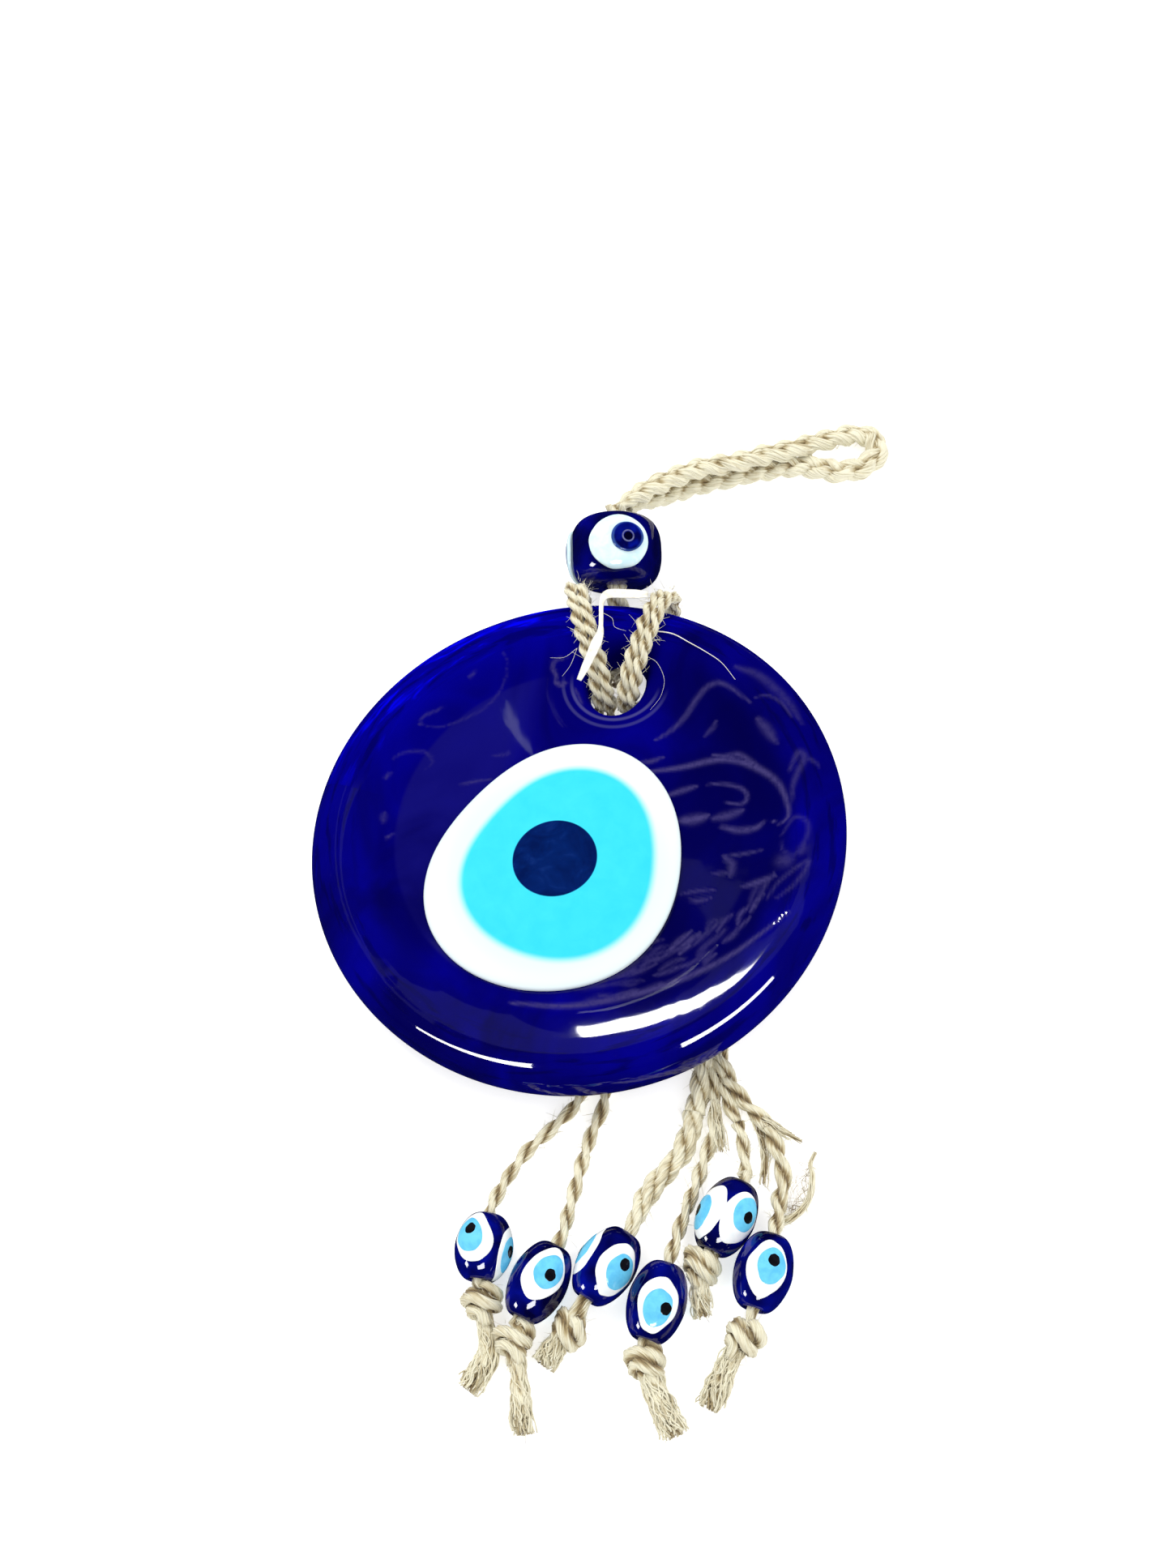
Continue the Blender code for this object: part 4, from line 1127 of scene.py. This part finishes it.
def tassels():
    for number, (radius, *_, (top, end)) in TASSELS.items():
        radius, top, end = radius * MM, top * MM, end * MM
        upper, lower, tail = tassel_paths(number)
        body = f"tassel_{number}"
        hinge = pivot(f"tassel_{number}_lift")
        plies, pitch = (3, 15 * MM) if number == 3 else (2, 11 * MM)
        thin = np.clip((np.arange(len(upper))[::-1] * 0.6 - 7) / 9, 0, 1)
        radii = BORE_CORD + (radius - BORE_CORD) * thin
        split = 0 if number < 3 else int(np.argmin(np.abs(upper[:, 1] + 50 * MM)))
        cord = Cord()
        cord.twine(upper[split:], radii[split:], pitch, 0.7 * number, plies=plies)
        cord.fuzz(upper[split:-13], radius, 2.2)
        made = cord.make(f"{body}_twine", replaced=[f"tassel_cord_{number}"])
        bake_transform(made)
        if split:
            root = Cord()
            root.twine(upper[: split + 1], radii[: split + 1], pitch, 0.7 * number, plies=plies)
            root.fuzz(upper[: split + 1], radius, 2.0)
            made = root.make(f"bundle_twine_{number}", replaced=["right_bundle"])
            swing = pivot("right_bundle_lift")
            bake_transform(made)
        ending = Cord()
        swell = np.clip((np.arange(len(lower)) - PATH_IN_BORE) / 5, 0, 1)
        ending.twine(lower, BORE_CORD + (1.8 * MM - BORE_CORD) * swell, 24 * MM, 0.4 * number, strands=16)
        core = tail[: 2 * len(tail) // 3]
        ending.twine(core, np.linspace(0.95 * top, 0.7 * end, len(core)), 14 * MM, 1.0)
        ending.brush(tail, (top, 1.08 * end), 150, 1.3, 4.2 * MM, 0.18 * MM, 0.8)
        ending.fuzz(lower[PATH_IN_BORE:], 1.9 * MM, 1.4, 2.2 * MM)
        ending.fuzz(tail, 0.9 * end, 2.4, 2.2 * MM)
        ending.make(f"{body}_knot_and_tail", body)


# Each run of cords behind the disc: the sideways place of each cord in it, then its line in the disc's plane
RUNS = {
    "left": ((-1.25, 1.25), (-3.6, 36.6), (-2.0, 30.0), (10.0, 12.0), (13.0, -12.0), (14.2, -34.0)),
    "right": ((-2.7, -0.9, 0.9, 2.7), (4.8, 36.6), (7.0, 29.0), (21.0, 14.0), (27.5, -10.0), (33.0, -28.0),
        (34.6, -34.4)),
}


def cord_runs():
    """The cords behind the disc, from the hole to its lower edge."""
    for label, (lanes, *places) in RUNS.items():
        cord = Cord()
        path = smooth_path([point(x, y, -2.0) for x, y in places], 0.9 * MM)
        for lane in lanes:
            line = offset(path, lane * MM, 0.25 * MM * math.copysign(1, lane))
            cord.twine(line, 1.25 * MM, 8.5 * MM, random.random() * TAU, strands=8)
        cord.fuzz(path, 2.4 * MM, 0.6, 2.0 * MM)
        cord.make(f"back_twines_{label}", "disc", [f"cord_run_{label}"])


LOOSE_STRAND = (
    (55.4, -67.6, -2.0), (57.8, -65.9, -2.2), (59.6, -63.6, -2.2), (60.3, -60.8, -2.0),
    (60.0, -57.4, -1.8), (59.2, -55.4, -1.6), (59.9, -52.4, -1.4),
)
# Each frayed spur: its radius at each end, its number of fibres, how unevenly they end, and its line
SPURS = (
    (1.0, 0.7, 26, 6.0, (48.6, -48.6, -1.6), (53.0, -50.4, -1.4), (57.4, -51.8, -1.0)),
    (0.8, 1.3, 34, 3.0, (39.0, -47.0, -1.0), (40.8, -52.0, -1.4), (42.8, -57.0, -1.8)),
    (0.9, 0.9, 22, 4.0, (47.4, -48.8, -2.6), (50.4, -55.0, -2.9), (51.2, -61.6, -3.0)),
)
# Each stray hair on the glass: its thickness and its line
HAIRS = (
    (0.16, (6.0, 46.9, 11.4), (9.9, 47.0, 11.1), (13.7, 45.6, 11.0), (17.5, 44.0, 11.0), (21.5, 41.9, 11.0),
        (25.2, 38.4, 10.9)),
    (0.08, (-9.5, 40.7, 10.2), (-11.9, 38.5, 9.4), (-15.0, 38.1, 9.0)),
    (0.08, (-9.5, 40.7, 10.2), (-10.2, 37.1, 9.0), (-11.4, 34.3, 8.6)),
    (0.06, (5.7, 41.3, 10.0), (8.0, 40.3, 9.6), (10.2, 37.0, 9.0), (10.3, 33.1, 8.6), (8.8, 29.8, 8.2)),
    (0.07, (-6.0, 49.4, 11.6), (-3.7, 48.6, 11.2), (-2.7, 46.7, 11.0), (0.0, 46.1, 11.0)),
)


def loose_fibres():
    """Frayed strands beside the right-hand cords, and the pale hairs that lie over the glass."""
    strand = Cord()
    path = path_through(*LOOSE_STRAND)
    strand.brush(path, (0.75 * MM, 0.35 * MM), 30, 2.0, 5 * MM, 0.15 * MM)
    for _ in range(46):
        i, k = random.choice(np.arange(4, len(path) - 6), 2, replace=False)
        inward = point(random.uniform(-3.2, -0.8), random.uniform(-0.8, 1.4), random.uniform(-0.4, 0.6))
        line = smooth_path([path[i], 0.5 * (path[i] + path[k]) + inward, path[k]])
        strand.hair(line, 0.045 * MM, depth=0.4)
    strand.fuzz(path, 0.6 * MM, 2.5)
    strand.make("frayed_strand", "tassel_6", ["loose_strand"])
    spur = Cord()
    for start, end, count, ragged, *places in SPURS:
        path = path_through(*places)
        spur.brush(path, (start * MM, end * MM), count, 0.6, ragged * MM, 0.12 * MM)
        spur.fuzz(path, 0.8 * MM, 3.0)
    spur.make("frayed_spurs", "right_bundle")
    hairs = Cord()
    for thickness, *places in HAIRS:
        hairs.hair(path_through(*places), thickness * MM, 1.0)
    hairs.make("stray_hairs", "disc", surface=PALE)


RIBBON = (
    (3.0, 54.3, 13.4), (-1.4, 53.5, 13.8), (-5.2, 52.6, 14.1), (-6.0, 50.4, 14.3), (-5.0, 45.7, 14.3),
    (-4.5, 42.8, 14.2), (-4.9, 39.2, 14.0), (-5.7, 34.8, 13.4), (-6.5, 31.8, 12.6),
)
# The ribbon's half width in millimetres at shares of its length
RIBBON_SHARES = (0.0, 0.08, 0.28, 0.38, 0.56, 0.7, 0.9, 1.0)
RIBBON_HALVES = (0.8, 1.05, 1.0, 0.5, 0.5, 1.15, 0.95, 0.6)
RIBBON_TURNS = np.linspace(0, TAU, 10, endpoint=False)


def pale_ribbon():
    """The flat pale fibre that lies over the hitch and turns a little as it goes."""
    path = path_through(*RIBBON)
    side, up = carried(path)
    share = np.linspace(0, 1, len(path))
    turn = 0.35 * np.sin(4.2 * share)
    halves = np.interp(share, RIBBON_SHARES, RIBBON_HALVES) * MM
    wide = halves[:, None] * around(turn, side, up)
    thin = 0.12 * MM * around(turn + math.pi / 2, side, up)
    rings = [
        [middle + math.cos(angle) * w + math.sin(angle) * t for angle in RIBBON_TURNS]
        for middle, w, t in zip(path, wide, thin)
    ]
    make_piece("loose_pale_fibre", *skin(rings), PALE, "jute", "disc")


# ---------------------------------------------------------------- camera, floor and light

CAMERA_AZIMUTH = math.radians(28.27)
CAMERA_ELEVATION = math.radians(60.99)
CAMERA_ROLL = math.radians(-15.82)
CAMERA_DISTANCE = 405.1 * MM
CAMERA_SHIFT = (1.27 * MM, 12.98 * MM)
CAMERA_LENS = 45.19
FLOOR_REACH = 1.6


def camera_axes():
    """The camera's directions to its right, up and back."""
    flat, high = math.cos(CAMERA_ELEVATION), math.sin(CAMERA_ELEVATION)
    back = Vector((math.sin(CAMERA_AZIMUTH) * flat, -math.cos(CAMERA_AZIMUTH) * flat, high))
    right = (-back).cross(Vector((0, 0, 1))).normalized()
    up = right.cross(-back)
    turned_right = math.cos(CAMERA_ROLL) * right + math.sin(CAMERA_ROLL) * up
    turned_up = -math.sin(CAMERA_ROLL) * right + math.cos(CAMERA_ROLL) * up
    return turned_right, turned_up, back


def camera():
    data = bpy.data.cameras.new("camera")
    data.lens = CAMERA_LENS
    data.clip_start = 0.01
    obj = add_object("camera", data)
    right, up, back = camera_axes()
    place = back * CAMERA_DISTANCE + right * CAMERA_SHIFT[0] + up * CAMERA_SHIFT[1]
    obj.matrix_world = Matrix.Translation(place) @ Matrix((right, up, back)).transposed().to_4x4()
    bpy.context.scene.camera = obj
    return place


def sheet(name, corners, faces, material):
    """A flat stage piece, which isn't part of the ornament."""
    mesh = bpy.data.meshes.new(name)
    mesh.from_pydata([tuple(c) for c in corners], [], faces)
    mesh.materials.append(material)
    obj = add_object(name, mesh)
    return obj


def card(name, corners, strength, shown_by):
    """A light panel that shows only in the reflections of the pieces whose names start as given."""
    glow = Graph(name).finish(
        Base_Color=(0.0, 0.0, 0.0), Emission_Color=(1.0, 1.0, 1.0), Emission_Strength=strength
    )
    faces = [(i, i + 1, i + 3, i + 2) for i in range(0, len(corners) - 2, 2)]
    obj = sheet(name, corners, faces, glow)
    obj.visible_camera = False
    obj.visible_diffuse = False
    obj.visible_shadow = False
    receivers = bpy.data.collections.new(name + " receivers")
    for piece in bpy.data.objects:
        if piece.name.startswith(shown_by):
            receivers.objects.link(piece)
    obj.light_linking.receiver_collection = receivers


def disc_normal(x, y):
    """Normal of the disc's face at a point given in millimetres, without its waves."""
    radius = round_radius(x, y)
    reach = 0.4
    inner, outer = np.interp((radius - reach, radius + reach), FRONT[:, 0], FRONT[:, 1])
    slope = (outer - inner) / (2 * reach)
    return Vector((-slope * x / radius, -slope * y / radius, 1.0)).normalized()


def highlight(name, edges, strength, eye, distance=0.4):
    """A panel placed so that the disc shows its reflection between pairs of points given in millimetres."""
    corners = []
    for pair in edges:
        for x, y in pair:
            place = Vector((x, y, front_height(x, y))) * MM
            toward = (eye - place).normalized()
            normal = disc_normal(x, y)
            mirrored = 2 * normal.dot(toward) * normal - toward
            corners.append(place + mirrored * distance)
    card(name, corners, strength, "poured_glass_disc")


def window(name, tilt, size, strength, distance=1.3):
    """A bright pane whose glint shows where a bead leans by a tilt from the camera, to the right and up."""
    right, up, back = camera_axes()
    lean = math.hypot(*tilt)
    normal = (back * math.sqrt(1 - lean**2) + tilt[0] * right + tilt[1] * up).normalized()
    toward = 2 * normal.dot(back) * normal - back
    across = toward.cross(Vector((0, 0, 1))).normalized() * size[0] / 2
    upward = across.cross(toward).normalized() * size[1] / 2
    corners = [toward * distance + i * across + j * upward for i, j in ((-1, -1), (1, -1), (-1, 1), (1, 1))]
    card(name, corners, strength, ("bead_", "large_bead"))


def arc(inner, outer, first, last):
    """Pairs of points on an arc's inner and outer edge, each given as its radius at both ends, between a
    first and a last angle in degrees."""
    pairs = []
    for t in np.linspace(0, 1, 12):
        a = math.radians(first + (last - first) * t)
        radii = (r0 + (r1 - r0) * t for r0, r1 in (inner, outer))
        pairs.append([(r * math.cos(a), r * math.sin(a)) for r in radii])
    return pairs


def floor():
    g = Graph("pale floor")
    tone = g.ramp(g.noise(g.place(), 3.0), (0.3, (0.78, 0.78, 0.78)), (0.7, (0.8, 0.8, 0.8)))
    g.finish(Base_Color=tone, Roughness=0.9, Specular_IOR_Level=0.0)
    g.finish(Emission_Color=(1.0, 1.0, 1.0), Emission_Strength=0.55)
    ends = ((-1, -1), (1, -1), (1, 1), (-1, 1))
    corners = [(x * FLOOR_REACH, y * FLOOR_REACH, FLOOR - 0.02 * MM) for x, y in ends]
    sheet("floor", corners, [(0, 1, 2, 3)], g.material).visible_glossy = False


def softbox(name, place, size, power):
    data = bpy.data.lights.new(name, "AREA")
    data.size = size
    data.energy = power
    obj = add_object(name, data)
    obj.location = place
    obj.rotation_mode = "QUATERNION"
    obj.rotation_quaternion = Vector(place).to_track_quat("Z", "Y")
    obj.visible_glossy = False


def world():
    """A pale surround for the floor and the diffuse light, and a dark one for reflections."""
    surround = bpy.data.worlds.new("studio")
    bpy.context.scene.world = surround
    surround.use_nodes = True
    tree = surround.node_tree
    path = tree.nodes.new("ShaderNodeLightPath")
    blend = tree.nodes.new("ShaderNodeMix")
    blend.data_type = "RGBA"
    blend.inputs[6].default_value = (0.8, 0.8, 0.8, 1.0)
    blend.inputs[7].default_value = (0.006, 0.008, 0.012, 1.0)
    tree.links.new(path.outputs["Is Glossy Ray"], blend.inputs[0])
    tree.links.new(blend.outputs[2], tree.nodes["Background"].inputs["Color"])


# What the glass mirrors: pairs of points on the disc, in millimetres, between which each panel shows
STRIP = (
    ((9.7, -41.5), (10.4, -44.1)),
    ((18.6, -38.6), (19.4, -41.3)),
    ((27.2, -34.3), (28.1, -37.0)),
    ((35.2, -28.3), (36.1, -30.6)),
    ((40.4, -22.9), (41.0, -24.5)),
    ((43.9, -18.4), (44.0, -18.8)),
)
RIM_GLOW = (
    ((-35.6, -32.6), (-34.8, -33.6)),
    ((-28.0, -36.2), (-27.4, -40.2)),
    ((-16.8, -39.0), (-16.4, -46.8)),
    ((-2.7, -39.6), (-2.8, -48.4)),
    ((8.3, -38.6), (10.0, -47.4)),
    ((18.7, -34.8), (21.4, -42.6)),
    ((27.3, -29.0), (31.4, -37.4)),
    ((36.2, -22.0), (39.5, -30.0)),
    ((42.1, -15.7), (45.4, -21.0)),
    ((46.0, -10.5), (48.8, -13.0)),
)


def studio():
    eye = camera()
    floor()
    world()
    softbox("key light", (-0.5, 0.5, 1.1), 0.7, 9.0)
    softbox("fill light", (0.7, -0.3, 0.9), 0.9, 4.0)
    highlight("strip light", STRIP, 40.0, eye)
    highlight("outer strip", arc((52.1, 52.1), (52.7, 52.4), -52, -27), 30.0, eye)
    highlight("left strip", arc((51.5, 51.0), (51.7, 51.8), -112, -85), 30.0, eye)
    highlight("rim glow", RIM_GLOW, 0.16, eye, 0.45)
    window("near window", (0.0, -0.22), (0.6, 0.34), 22.0)
    window("left window", (-0.52, -0.2), (0.28, 0.3), 22.0)
    bpy.context.scene.view_settings.view_transform = "Standard"


glass_disc()
large_eye()
top_bead()
small_beads()
hitch()
hanger_stem()
hanging_loop()
tassels()
cord_runs()
loose_fibres()
pale_ribbon()
studio()
